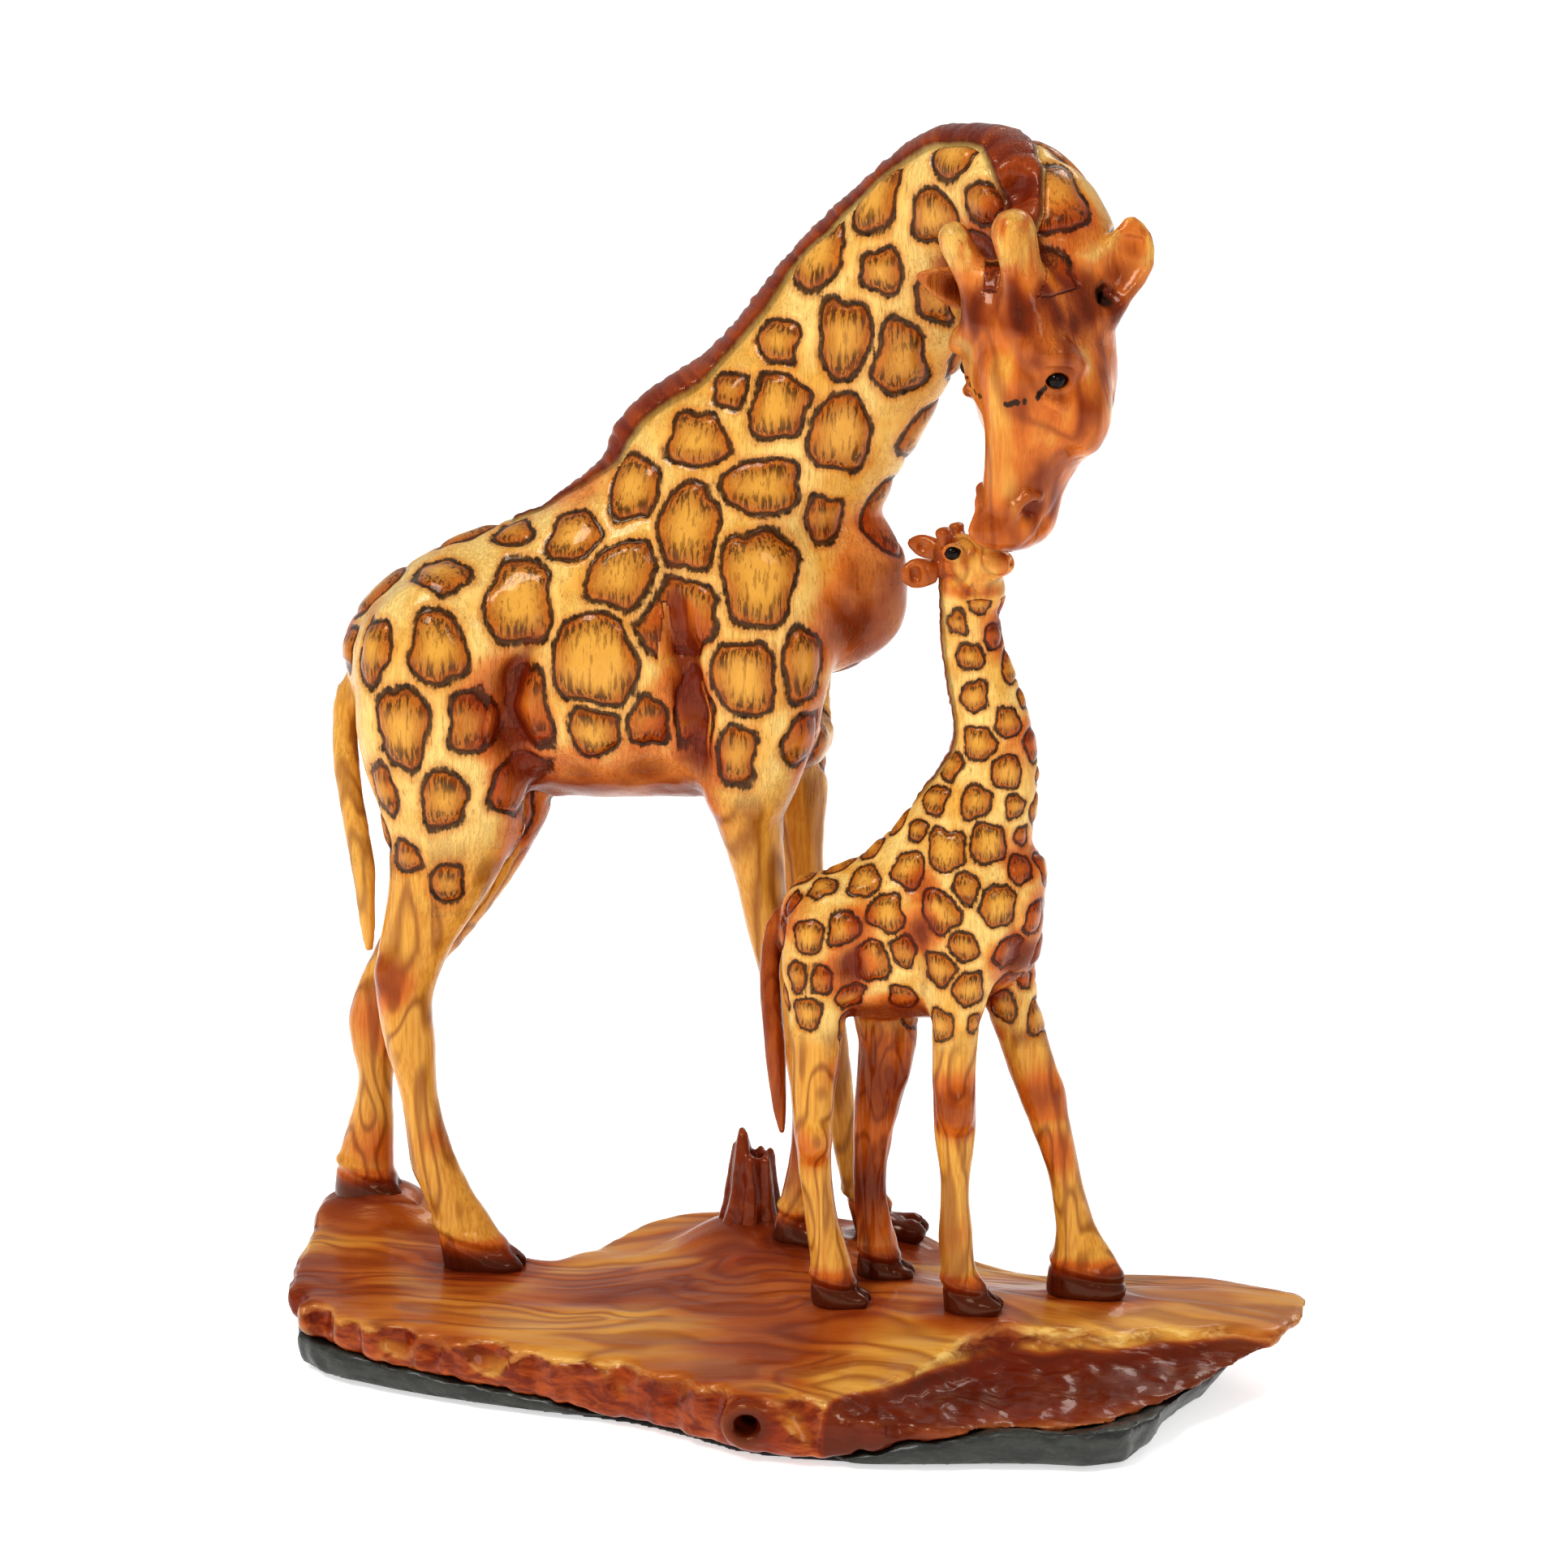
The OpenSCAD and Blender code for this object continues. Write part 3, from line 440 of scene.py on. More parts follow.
def srgb(red, green, blue):
    """A screen colour from 0 to 255 as the linear colour that the shader needs."""
    def straight(c):
        c /= 255
        return c / 12.92 if c <= 0.04045 else ((c + 0.055) / 1.055) ** 2.4
    return (straight(red), straight(green), straight(blue), 1.0)


CREAM = srgb(240, 203, 122)
GOLD = srgb(222, 164, 72)
HONEY = srgb(202, 134, 50)
ORANGE = srgb(190, 92, 26)
RED_BROWN = srgb(112, 31, 7)
DEEP_BROWN = srgb(52, 15, 5)
DARK = srgb(26, 9, 4)
PALE_CHIP = srgb(250, 214, 130)
# what the lacquer over the stained wood reflects
AMBER = (1.0, 0.5, 0.22, 1.0)


class Paint:
    """Wires the nodes of one procedural material."""

    def __init__(self, name, coat=0.0, coat_roughness=0.1, specular=0.5, tint=(1, 1, 1, 1)):
        self.material = bpy.data.materials.new(name)
        self.material.use_nodes = True
        self.tree = self.material.node_tree
        self.shader = self.tree.nodes["Principled BSDF"]
        self.shader.inputs["Coat Weight"].default_value = coat
        self.shader.inputs["Coat Roughness"].default_value = coat_roughness
        self.shader.inputs["Specular IOR Level"].default_value = specular
        self.shader.inputs["Specular Tint"].default_value = tint
        self.place = self.tree.nodes.new("ShaderNodeTexCoord").outputs["Object"]

    def set(self, socket, value):
        if isinstance(value, bpy.types.NodeSocket):
            self.tree.links.new(value, socket)
        else:
            socket.default_value = value

    def math(self, operation, a, b=0.0):
        node = self.tree.nodes.new("ShaderNodeMath")
        node.operation = operation
        self.set(node.inputs[0], a)
        self.set(node.inputs[1], b)
        return node.outputs[0]

    def mark(self, name):
        node = self.tree.nodes.new("ShaderNodeAttribute")
        node.attribute_name = name
        return node.outputs["Fac"]

    def where(self, size, shift=None):
        """The place in units of size millimetres, pushed about by shift."""
        node = self.tree.nodes.new("ShaderNodeVectorMath")
        node.operation = "MULTIPLY"
        self.set(node.inputs[0], self.place)
        node.inputs[1].default_value = [1 / (MM * s) for s in size]
        if shift is None:
            return node.outputs[0]
        push = self.tree.nodes.new("ShaderNodeVectorMath")
        push.operation = "ADD"
        self.set(push.inputs[0], node.outputs[0])
        self.set(push.inputs[1], shift)
        return push.outputs[0]

    def noise(self, size, detail=2.0, roughness=0.5, distortion=0.0, shift=None, colour=False):
        """Noise whose lumps are about size millimetres wide along X, Y and Z."""
        node = self.tree.nodes.new("ShaderNodeTexNoise")
        self.set(node.inputs["Vector"], self.where(size, shift))
        node.inputs["Scale"].default_value = 1.0
        node.inputs["Detail"].default_value = detail
        node.inputs["Roughness"].default_value = roughness
        node.inputs["Distortion"].default_value = distortion
        return node.outputs["Color" if colour else "Fac"]

    def step(self, value, low, high):
        """0 at low, 1 at high, smooth between; low may be the larger."""
        node = self.tree.nodes.new("ShaderNodeMapRange")
        node.interpolation_type = "SMOOTHSTEP"
        self.set(node.inputs["Value"], value)
        turned = low > high
        node.inputs["From Min"].default_value = min(low, high)
        node.inputs["From Max"].default_value = max(low, high)
        node.inputs["To Min"].default_value = 1.0 if turned else 0.0
        node.inputs["To Max"].default_value = 0.0 if turned else 1.0
        return node.outputs["Result"]

    def scale(self, value, low, high):
        """0 to 1 becomes low to high."""
        return self.math("ADD", self.math("MULTIPLY", value, high - low), low)

    def mix(self, factor, a, b, blend="MIX"):
        node = self.tree.nodes.new("ShaderNodeMix")
        node.data_type = "RGBA"
        node.blend_type = blend
        self.set(node.inputs["Factor"], factor)
        self.set(node.inputs["A"], a)
        self.set(node.inputs["B"], b)
        return node.outputs["Result"]

    def wash(self, base, where, strength, colour, blend="MIX"):
        """Lays a colour over base where where is 1, no stronger than strength."""
        return self.mix(self.math("MULTIPLY", where, strength), base, colour, blend)

    def plus(self, a, b, weight):
        return self.math("ADD", a, self.math("MULTIPLY", b, weight))

    def rings(self, size, count, width=0.16, distortion=0.6, shift=None):
        """Wood grain: the contour lines of a smooth noise, 1 on a line and 0 off it."""
        hills = self.noise(size, detail=1.2, roughness=0.35, distortion=distortion, shift=shift)
        wave = self.math("PINGPONG", self.math("MULTIPLY", hills, count), 0.5)
        return self.step(wave, width, 0.0)

    def finish(self, colour, roughness, height, depth):
        self.set(self.shader.inputs["Base Color"], colour)
        self.set(self.shader.inputs["Roughness"], roughness)
        bump = self.tree.nodes.new("ShaderNodeBump")
        bump.inputs["Strength"].default_value = 1.0
        bump.inputs["Distance"].default_value = depth * MM
        self.set(bump.inputs["Height"], height)
        self.set(self.shader.inputs["Normal"], bump.outputs[0])
        return self.material


def hide_material(name, grain_along, line_size=1.0):
    """Lacquered carved hide: cream net, engraved golden spots, stain and long grain.
    line_size shrinks the engraving for the smaller animal."""
    p = Paint(name, coat=0.28, coat_roughness=0.07, specular=0.35, tint=AMBER)
    k = line_size
    spot = p.mark("spot")
    stain = p.mark("stain")
    crease = p.mark("crease")
    plain = p.mark("plain")
    mane = p.mark("mane")
    blotch = p.noise((9 * k, 9 * k, 12 * k), detail=3)
    streak = p.noise((0.65 * k, 0.65 * k, 5.5 * k), detail=3, roughness=0.6)
    grain = p.rings(grain_along, 6, width=0.3)
    fine_grain = p.noise((0.5, 0.5, 7), detail=2)

    base = p.mix(p.step(blotch, 0.35, 0.7), CREAM, GOLD)
    base = p.wash(base, p.step(streak, 0.5, 0.72), 0.4, HONEY)
    base = p.wash(base, p.step(streak, 0.6, 0.7), 0.4, srgb(112, 56, 18))
    legs = p.mix(p.step(fine_grain, 0.3, 0.75), GOLD, HONEY)
    legs = p.wash(legs, grain, 0.7, srgb(132, 68, 20))
    base = p.mix(plain, base, legs)

    # spots: golden domes with dark strokes near their rims and a burnt outline
    fill = p.mix(p.step(streak, 0.35, 0.62), srgb(166, 100, 34), HONEY)
    # lighter gold in the middle of each spot: a painted highlight on its dome
    fill = p.wash(fill, p.step(spot, 1.0 * k, 4.5 * k), 0.9, GOLD)
    fill = p.wash(fill, p.step(streak, 0.52, 0.64), 0.45, srgb(104, 50, 14))
    inside = p.step(spot, -0.1 * k, 0.35 * k)
    hatch = p.math("MULTIPLY", p.step(streak, 0.47, 0.56), p.step(spot, 5 * k, 0.6 * k))
    hatch = p.math("MULTIPLY", hatch, p.step(p.mark("rise"), 0.1, 0.5))
    fill = p.wash(fill, hatch, 0.9, DARK)
    base = p.mix(inside, base, fill)
    uneven = p.noise((1.6 * k, 1.6 * k, 1.6 * k), detail=2)
    wavy = p.math("ADD", spot, p.scale(uneven, -0.45 * k, 0.45 * k))
    rough_line = p.math("ADD", wavy, p.scale(streak, -0.5 * k, 0.5 * k))
    line = p.step(p.math("ABSOLUTE", rough_line), 0.62 * k, 0.22 * k)
    line = p.math("MULTIPLY", line, p.scale(uneven, 0.75, 1.2))
    halo = p.step(p.math("ABSOLUTE", wavy), 1.7 * k, 0.5 * k)
    base = p.wash(base, halo, 0.45, ORANGE)
    base = p.wash(base, line, 0.93, DARK)

    ridge = p.step(crease, -0.2, -0.7)
    base = p.wash(base, ridge, 0.14, CREAM)

    # stain: orange at its edge, deep red-brown at its middle; in the creases dark glaze with painted
    # shade over it
    worn = p.math("ADD", stain, p.scale(blotch, -0.22, 0.22))
    creased = p.step(crease, 0.06, 0.4)
    base = p.wash(base, p.step(worn, 0.1, 0.5), 0.75, srgb(226, 132, 70), "MULTIPLY")
    base = p.wash(base, p.step(worn, 0.4, 1.05), 0.9, RED_BROWN)
    base = p.wash(base, p.step(worn, 0.85, 1.35), 0.75, DEEP_BROWN)
    # painted shade and dark glaze in the creases, near-black in the deepest
    base = p.wash(base, creased, 0.85, RED_BROWN)
    base = p.wash(base, p.step(crease, 0.4, 0.9), 0.8, DARK)

    # mane: red-brown hair with golden tips and fine cross strokes
    hair = p.mark("hair")
    hair_colour = p.mix(p.step(hair, -0.9, 0.9), RED_BROWN, srgb(150, 62, 18))
    hair_colour = p.wash(hair_colour, p.step(streak, 0.55, 0.75), 0.5, DARK)
    on_mane = p.step(mane, -0.2, 0.5)
    base = p.mix(on_mane, base, hair_colour)
    rim = p.step(p.math("ABSOLUTE", mane), 0.9, 0.2)
    base = p.wash(base, rim, 0.55, DARK)
    # near-black: paint on the lash line and cheek ring, painted shade in pits, nostrils and the ear
    # hole
    base = p.mix(p.step(p.mark("ink"), 0.35, 0.7), base, DARK)

    height = p.math("MULTIPLY", line, -1.0)
    height = p.plus(height, hatch, -0.5)
    height = p.plus(height, p.math("MULTIPLY", grain, plain), -0.3)
    height = p.plus(height, p.math("MULTIPLY", streak, on_mane), 1.2)
    height = p.plus(height, blotch, 0.5)
    rough = p.plus(p.scale(streak, 0.2, 0.36), line, 0.2)
    return p.finish(base, rough, height, depth=0.22 * k)


def stump_material():
    """Glossy dark stained wood with fine upright grain."""
    p = Paint("stump_wood", coat=0.3, coat_roughness=0.08, tint=AMBER)
    stain = p.mark("stain")
    crease = p.mark("crease")
    streak = p.noise((0.8, 0.8, 6), detail=4, roughness=0.65)
    blotch = p.noise((4, 4, 5), detail=3)
    worn = p.math("ADD", stain, p.scale(streak, -0.4, 0.4))
    base = p.mix(p.step(worn, 0.1, 0.8), ORANGE, RED_BROWN)
    base = p.wash(base, p.step(blotch, 0.55, 0.75), 0.3, ORANGE)
    base = p.wash(base, p.step(streak, 0.5, 0.66), 0.4, DARK)
    # near-black in the creases: dark glaze with painted shade over it
    base = p.wash(base, p.step(crease, 0.1, 0.7), 0.85, DARK)
    base = p.wash(base, p.step(crease, -0.1, -0.5), 0.15, ORANGE)
    height = p.plus(streak, blotch, 0.4)
    return p.finish(base, p.scale(streak, 0.2, 0.38), height, depth=0.25)


def slab_material():
    """The carved slab: flowing golden grain on top, red-brown torn edge, pale chipped ridges."""
    p = Paint("slab_wood", coat=0.28, coat_roughness=0.08, specular=0.35, tint=AMBER)
    side = p.mark("side")
    stain = p.mark("stain")
    crease = p.mark("crease")
    warp = p.noise((38, 30, 30), detail=2, colour=True)
    broad = p.noise((60, 16, 14), detail=2, distortion=1.0, shift=warp)
    grain = p.rings((95, 17, 20), 7, width=0.34, distortion=0.9, shift=warp)
    fine = p.noise((9, 0.9, 0.9), detail=3, roughness=0.6)
    top = p.mix(p.step(broad, 0.32, 0.66), GOLD, HONEY)
    top = p.wash(top, p.step(broad, 0.55, 0.8), 0.8, ORANGE)
    top = p.wash(top, p.step(fine, 0.5, 0.75), 0.4, ORANGE)
    top = p.wash(top, grain, 0.6, srgb(140, 64, 18))
    torn = p.noise((6, 5, 2.2), detail=4, roughness=0.6, distortion=0.8)
    edge = p.mix(p.step(torn, 0.35, 0.68), RED_BROWN, srgb(172, 80, 28))
    edge = p.wash(edge, p.step(crease, -0.55, -1.0), 0.6, PALE_CHIP)
    base = p.mix(side, top, edge)
    chip = p.math("MULTIPLY", p.mark("rim"), p.step(torn, 0.4, 0.6))
    base = p.wash(base, chip, 0.7, PALE_CHIP)
    worn = p.math("ADD", stain, p.scale(broad, -0.3, 0.3))
    base = p.wash(base, p.step(worn, 0.15, 0.6), 0.75, ORANGE, "MULTIPLY")
    base = p.wash(base, p.step(worn, 0.45, 1.0), 0.8, RED_BROWN)
    base = p.wash(base, p.step(worn, 0.8, 1.3), 0.6, DEEP_BROWN)
    # darker in the creases: dark glaze with painted shade over it
    base = p.wash(base, p.step(crease, 0.1, 0.55), 0.8, RED_BROWN)
    base = p.wash(base, p.step(crease, 0.5, 1.1), 0.7, DARK)
    height = p.plus(p.math("MULTIPLY", grain, -0.5), fine, 0.5)
    height = p.math("ADD", height, p.math("MULTIPLY", torn, side))
    return p.finish(base, p.scale(fine, 0.24, 0.42), height, depth=0.3)


def bark_material():
    """The dark rough underside: green-black lacquer over coarse torn wood."""
    p = Paint("bark", coat=0.35, coat_roughness=0.2)
    crease = p.mark("crease")
    coarse = p.noise((7, 7, 2.5), detail=5, roughness=0.65)
    fine = p.noise((1.2, 1.2, 0.8), detail=3)
    base = p.mix(p.step(coarse, 0.35, 0.7), srgb(18, 20, 16), srgb(46, 50, 40))
    base = p.wash(base, p.step(fine, 0.55, 0.75), 0.3, srgb(80, 60, 38))
    # painted shade in the creases
    base = p.wash(base, p.step(crease, 0.1, 0.6), 0.8, srgb(14, 14, 11))
    height = p.plus(coarse, fine, 0.3)
    return p.finish(base, p.scale(coarse, 0.35, 0.6), height, depth=0.6)


def eye_material():
    """Black lacquer with a faint brown cloud in it."""
    p = Paint("eye_lacquer", coat=0.12, coat_roughness=0.03, specular=0.12)
    cloud = p.noise((0.8, 0.8, 0.8), detail=2)
    base = p.mix(p.step(cloud, 0.45, 0.7), srgb(10, 7, 6), srgb(34, 18, 10))
    return p.finish(base, p.scale(cloud, 0.05, 0.1), cloud, depth=0.01)


def felt_material():
    """Matt black felt."""
    p = Paint("felt")
    fuzz = p.noise((0.5, 0.5, 0.5), detail=4, roughness=0.7)
    base = p.mix(fuzz, srgb(14, 14, 15), srgb(48, 47, 46))
    p.shader.inputs["Sheen Weight"].default_value = 0.4
    return p.finish(base, p.scale(fuzz, 0.85, 1.0), fuzz, depth=0.2)


def dowel_material():
    """Raw pale dowel wood."""
    p = Paint("dowel_wood")
    streak = p.noise((0.5, 0.5, 9), detail=3)
    base = p.mix(streak, srgb(232, 205, 160), srgb(196, 158, 106))
    return p.finish(base, p.scale(streak, 0.5, 0.7), streak, depth=0.08)


# ---------- engraved spots ----------

class Spots:
    """Rounded patches on a figure's skin, each lying in the plane that touches the skin there."""

    def __init__(self, points, normals, seed):
        self.points = points
        self.normals = normals
        self.seed = seed
        self.found = []

    def add(self, index, half_width, half_height):
        normal = self.normals[index]
        along = np.cross([0, 0, 1.0], normal)
        along /= max(np.linalg.norm(along), 1e-6)
        self.found.append((self.points[index], normal, along, np.cross(normal, along),
                           half_width, half_height))

    def place(self, x, z, half_width, half_height, side):
        """Puts a spot on the skin at x and z, on the side that looks along side * Y."""
        gap = (self.points[:, 0] - x) ** 2 + (self.points[:, 2] - z) ** 2
        gap += 1e3 * (self.normals[:, 1] * side < 0.15)
        nearest = np.argsort(gap)[:12]
        self.add(nearest[np.argmax(self.points[nearest, 1] * side)], half_width, half_height)

    def fill(self, wanted, radius, net):
        """Adds spots in the gaps that are left, the widest gap first."""
        room = np.flatnonzero(wanted)[::7]
        if len(room) == 0:
            return
        places = self.points[room]
        gap = np.full(len(room), 1e3)
        for spot in self.found:
            gap = np.minimum(gap, np.linalg.norm(places - spot[0], axis=1) - max(spot[4], spot[5]))
        for _ in range(MOST_EXTRA_SPOTS):
            widest = gap.argmax()
            size = min(radius, gap[widest] - net)
            if size < 0.5 * radius:
                break
            self.add(room[widest], size * 0.9, size * 1.05)
            gap = np.minimum(gap, np.linalg.norm(places - places[widest], axis=1) - size)

    def marks(self, net):
        """For each point: depth inside its spot in millimetres (below 0 outside), and how far
        towards the top or bottom of the spot it is, from 0 to 1."""
        first = np.full(len(self.points), NO_SPOT)
        second = first.copy()
        rise = np.zeros(len(self.points))
        ripple = 0.5 * noise(self.points, 2.6, self.seed)
        for number, (centre, normal, along, up, half_width, half_height) in enumerate(self.found):
            reach = 1.7 * max(half_width, half_height)
            near = np.flatnonzero((abs(self.points - centre) < reach).all(1))
            if len(near) == 0:
                continue
            q = self.points[near] - centre
            a = q @ along / half_width
            b = q @ up / half_height
            angle = np.arctan2(b, a)
            wobble = 1 + 0.07 * np.sin(3 * angle + number * 2.4) + 0.05 * np.sin(5 * angle + number)
            radius = (abs(a) ** 2.5 + abs(b) ** 2.5) ** 0.4 / wobble
            depth = (1 - radius) * min(half_width, half_height) + ripple[near]
            same_side = self.normals[near] @ normal > 0.1
            depth = np.where(same_side, depth, NO_SPOT)
            better = depth > first[near]
            second[near] = np.maximum(second[near], np.where(better, first[near], depth))
            rise[near] = np.where(better, np.clip(abs(b), 0, 1), rise[near])
            first[near] = np.maximum(first[near], depth)
        return np.minimum(first, (first - second) / 2 - net / 2), rise


def engraved(spot, scale):
    """Height of the skin over a spot: a low dome inside a burnt groove."""
    dome = 0.38 * ease(spot, 0.2 * scale, 2.6 * scale)
    groove = 0.42 * bell(spot, 0.65 * scale)
    return scale * (dome - groove)


# ---------- the mother ----------

MOTHER_LEGS = ["mother_leg_front_left", "mother_leg_front_right",
               "mother_leg_hind_left", "mother_leg_hind_right"]
# two horns, then two ears
CROWN = ["mother_horn_left", "mother_horn_right", "mother_ear_left", "mother_ear_right"]
CROWN_ROOTS = [(42.8, -14.6, 204), (35.4, -10, 204), (52.6, -6.4, 204), (38.6, 2.2, 204)]

# the mane, from the withers over the neck to behind the horns: x, y, z, half width
NAPE = [(-56, 22, 158, 1), (-44, 22, 168, 4.5), (-37, 22, 173, 6), (-20, 22, 187, 6.5),
        (-2, 22, 209, 6.5), (13, 18, 226, 6.5), (27, 10, 233, 6), (36, 3, 232, 5),
        (39, -4, 228, 4.2), (40, -9, 222, 3.4), (39, -12, 216, 2.5)]

# spots on the side that faces the viewer: x, z, half width, half height
MOTHER_SPOTS = [
    (32, 223, 4, 4), (23, 218, 5, 5), (13, 207, 4, 4), (6, 195, 5, 7), (17, 191, 5, 7),
    (-6, 195, 4, 4), (-6, 183, 6, 6), (6, 177, 6, 7), (-15, 185, 4, 3), (-21, 176, 6, 5),
    (-8, 169, 7, 5), (-33, 167, 5, 6), (-22, 161, 6, 8), (-8, 153, 7, 9), (-44, 158, 5, 5),
    (-33, 151, 7, 7), (-22, 144, 6, 7), (-53, 146, 6, 8), (-69, 150, 6, 4), (-56, 157, 4, 3),
    (-38, 137, 8, 9), (-81, 136, 4, 6), (-67, 138, 5, 7), (-12, 134, 6, 7), (1, 136, 4, 7),
    (-21, 126, 3, 7), (-75, 122, 5, 8), (-60, 123, 5, 6), (-52, 126, 4, 8), (-38, 121, 5, 5),
    (-29, 123, 4, 5), (-13, 118, 4, 6), (-66, 108, 4, 6), (-79, 109, 3, 5), (-89, 122, 2, 6),
    (-75, 96, 3, 3), (-67, 91, 3, 4)]

# head: its left and its front, and where its middle line is at each height
HEAD_LEFT = np.array([0.848, -0.53, 0])
HEAD_FRONT = np.array([-0.53, -0.848, 0])
HEAD_LINE = [(162, 40, -10), (168, 40.4, -9.8), (174, 41.4, -9.4), (180, 43, -8.6),
             (186, 44.2, -7.6), (192, 43.9, -6.5), (198, 44, -5.2), (204, 44.6, -3)]


def on_head(left, front, z):
    heights, xs, ys = zip(*HEAD_LINE)
    middle = np.array([np.interp(z, heights, xs), np.interp(z, heights, ys), z])
    return middle + left * HEAD_LEFT + front * HEAD_FRONT


def shape_trunk(clay):
    """The mother's muscles and the hollows between them."""
    for side in (1, -1):
        def at(x, depth, z):
            """A place on one flank, depth from the middle plane."""
            return (x, 22 + side * depth, z)
        clay.egg(at(-12, 14, 137), (11, 5.5, 24), k=5)
        clay.egg(at(-69, 13.5, 128), (14, 7, 20), k=5)
        clay.egg(at(-39, 9, 131), (14, 9, 19), k=6)
        clay.path([at(-25, 15, 156), at(-23.5, 16, 146), at(-22.5, 16.8, 138), at(-20.5, 16, 126),
                   at(-19, 14.5, 113)], [0.6, 1.6, 2.6, 2.4, 1.2], k=3, cut=True)
        clay.path([at(-48, 15, 143), at(-54, 16, 132), at(-55, 16, 122), at(-52, 14.5, 111)],
                  [0.6, 2.0, 2.4, 1.2], k=3, cut=True)
        clay.path([at(7, 13, 158), at(6, 14.5, 148), at(5, 14.5, 138), at(3, 14.5, 122)],
                  [0.4, 1.0, 1.6, 0.8], k=3, cut=True)
    # the heel cords of the near and the far hind leg
    clay.path([(-48, 16, 106), (-66, 11, 88), (-80, 8, 73), (-77, 8, 57)], [1.0, 1.6, 1.8, 1.0], k=2)
    clay.path([(-80, 37, 70), (-84, 35, 58)], [1.6, 1.2], k=2)


def foot_marks(points, feet):
    """1 at a hoof's sole, fading to 0 above the pastern."""
    hoof = np.zeros(len(points))
    for x, y, z in feet:
        away = np.hypot(points[:, 0] - x, points[:, 1] - y)
        hoof = np.maximum(hoof, ease(points[:, 2], z + 11, z + 1) * (away < 16))
    return hoof


MOTHER_FEET = [(12, 30.5, 16.5), (-2.6, 13, 20.5), (-90, 32, 18.5), (-63, 12, 12.5)]


def cut_hooves(clay, feet, size):
    """Splits each hoof into two toes."""
    for x, y, z in feet:
        for toe in (-1.8, 1.8):
            clay.egg((x + 4.5 * size, y + toe * size, z + 2.5 * size),
                     (4 * size, 2.6 * size, 2.8 * size), k=1.5 * size)
        clay.bar((x + 3 * size, y, z + 6 * size), (x + 9.5 * size, y, z + size),
                 0.5 * size, 0.7 * size, k=0.8 * size, cut=True)


def coronet(points, feet, size):
    """The step where horn meets skin round each hoof: negative in its groove."""
    height = np.zeros(len(points))
    for x, y, z in feet:
        away = np.hypot(points[:, 0] - x, points[:, 1] - y)
        above = points[:, 2] - z - (6.5 - 0.3 * (points[:, 0] - x)) * size
        near = ease(away, 15 * size, 10 * size)
        height += near * size * (0.5 * bell(above - 1.2, 1.1) - 0.45 * bell(above, 0.7))
    return height


def eye_rim(clay, centre, outward, along, size):
    """Sinks a socket round an eyeball and puts two lids over it."""
    centre, outward, along = (np.array(v, float) for v in (centre, outward, along))
    up = np.cross(outward, along)
    up *= np.sign(up[2]) / np.linalg.norm(up)
    clay.egg(centre + 1.1 * size * outward, [2.7 * size] * 3, k=size, cut=True)
    for lid, thick, lift in ((1, 0.62, 0.55), (-1, 0.5, 0.3)):
        arc = [centre + size * (lift * outward + 2.5 * math.cos(t) * along
                                + 1.85 * lid * math.sin(t) * up)
               for t in np.linspace(0, math.pi, 7)]
        clay.path(arc, [size * thick * k for k in (0.7, 0.9, 1, 1.1, 1, 0.9, 0.7)], k=0.5 * size)


def shape_face(clay):
    """Brows, eyes, cheeks, mouth and nostrils of the mother, and the roots of her horns."""
    clay.bar(on_head(0, 11, 194), on_head(0, 6.5, 172), 2.4, 2.4, k=4)
    clay.egg(on_head(0, 10, 204), (6, 4, 4), k=4)
    for root in ((42.8, -15.2, 203), (35.2, -10.4, 203)):
        clay.path([root, (root[0] - 1, root[1] + 0.4, 210)], [4.6, 3.2], k=4)
    for side in (1, -1):
        outward = 0.82 * side * HEAD_LEFT + 0.57 * HEAD_FRONT
        along = -0.57 * side * HEAD_LEFT + 0.82 * HEAD_FRONT
        clay.egg(on_head(9.0 * side, 0, 187), (4.5, 5.5, 7), k=4)
        clay.path([on_head(3.5 * side, 10.5, 201), on_head(7 * side, 11, 199.5),
                   on_head(10 * side, 9.5, 198.2), on_head(12 * side, 6, 196.5)],
                  [1.6, 2.6, 2.4, 1.2], k=2.5)
        eye = on_head(9.6 * side, 8.8, 194.2)
        eye_rim(clay, eye, outward, along, 1.05)
        # the bag under the eye, the nostril, the lips and the hollow of the cheek
        clay.path([eye + 0.2 * outward + 2.5 * along - [0, 0, 3.4], eye + 0.3 * outward - [0, 0, 4.4],
                   eye - 0.3 * outward - 3 * along - [0, 0, 4]], [0.4, 0.7, 0.4], k=1.5)
        clay.egg(on_head(5.6 * side, 4.6, 170.2), (1.4, 1.4, 2.0), k=1.0, cut=True)
        clay.path([on_head(6.2 * side, 3.4, 172.6), on_head(5.2 * side, 5.8, 173),
                   on_head(3.8 * side, 7.2, 171), on_head(3.6 * side, 7.2, 168.5)],
                  [0.6, 0.8, 0.9, 0.6], k=0.9)
        clay.path([on_head(1.5 * side, 7.2, 163.6), on_head(4.6 * side, 4.4, 164.2),
                   on_head(6.2 * side, 0.5, 167), on_head(7.0 * side, -2, 171),
                   on_head(7.4 * side, -4, 176)],
                  [0.5, 0.8, 0.8, 0.6, 0.3], k=0.8, cut=True)
        clay.path([on_head(9.6 * side, -3, 194), on_head(9.6 * side, -6, 187),
                   on_head(7.4 * side, -7, 180)], [0.6, 1.0, 0.6], k=2, cut=True)
    clay.egg(on_head(0, 6.2, 166.2), (5.2, 3.0, 3.2), k=2)
    clay.egg((38, -7, 225), (3, 3, 3), k=4, cut=True)


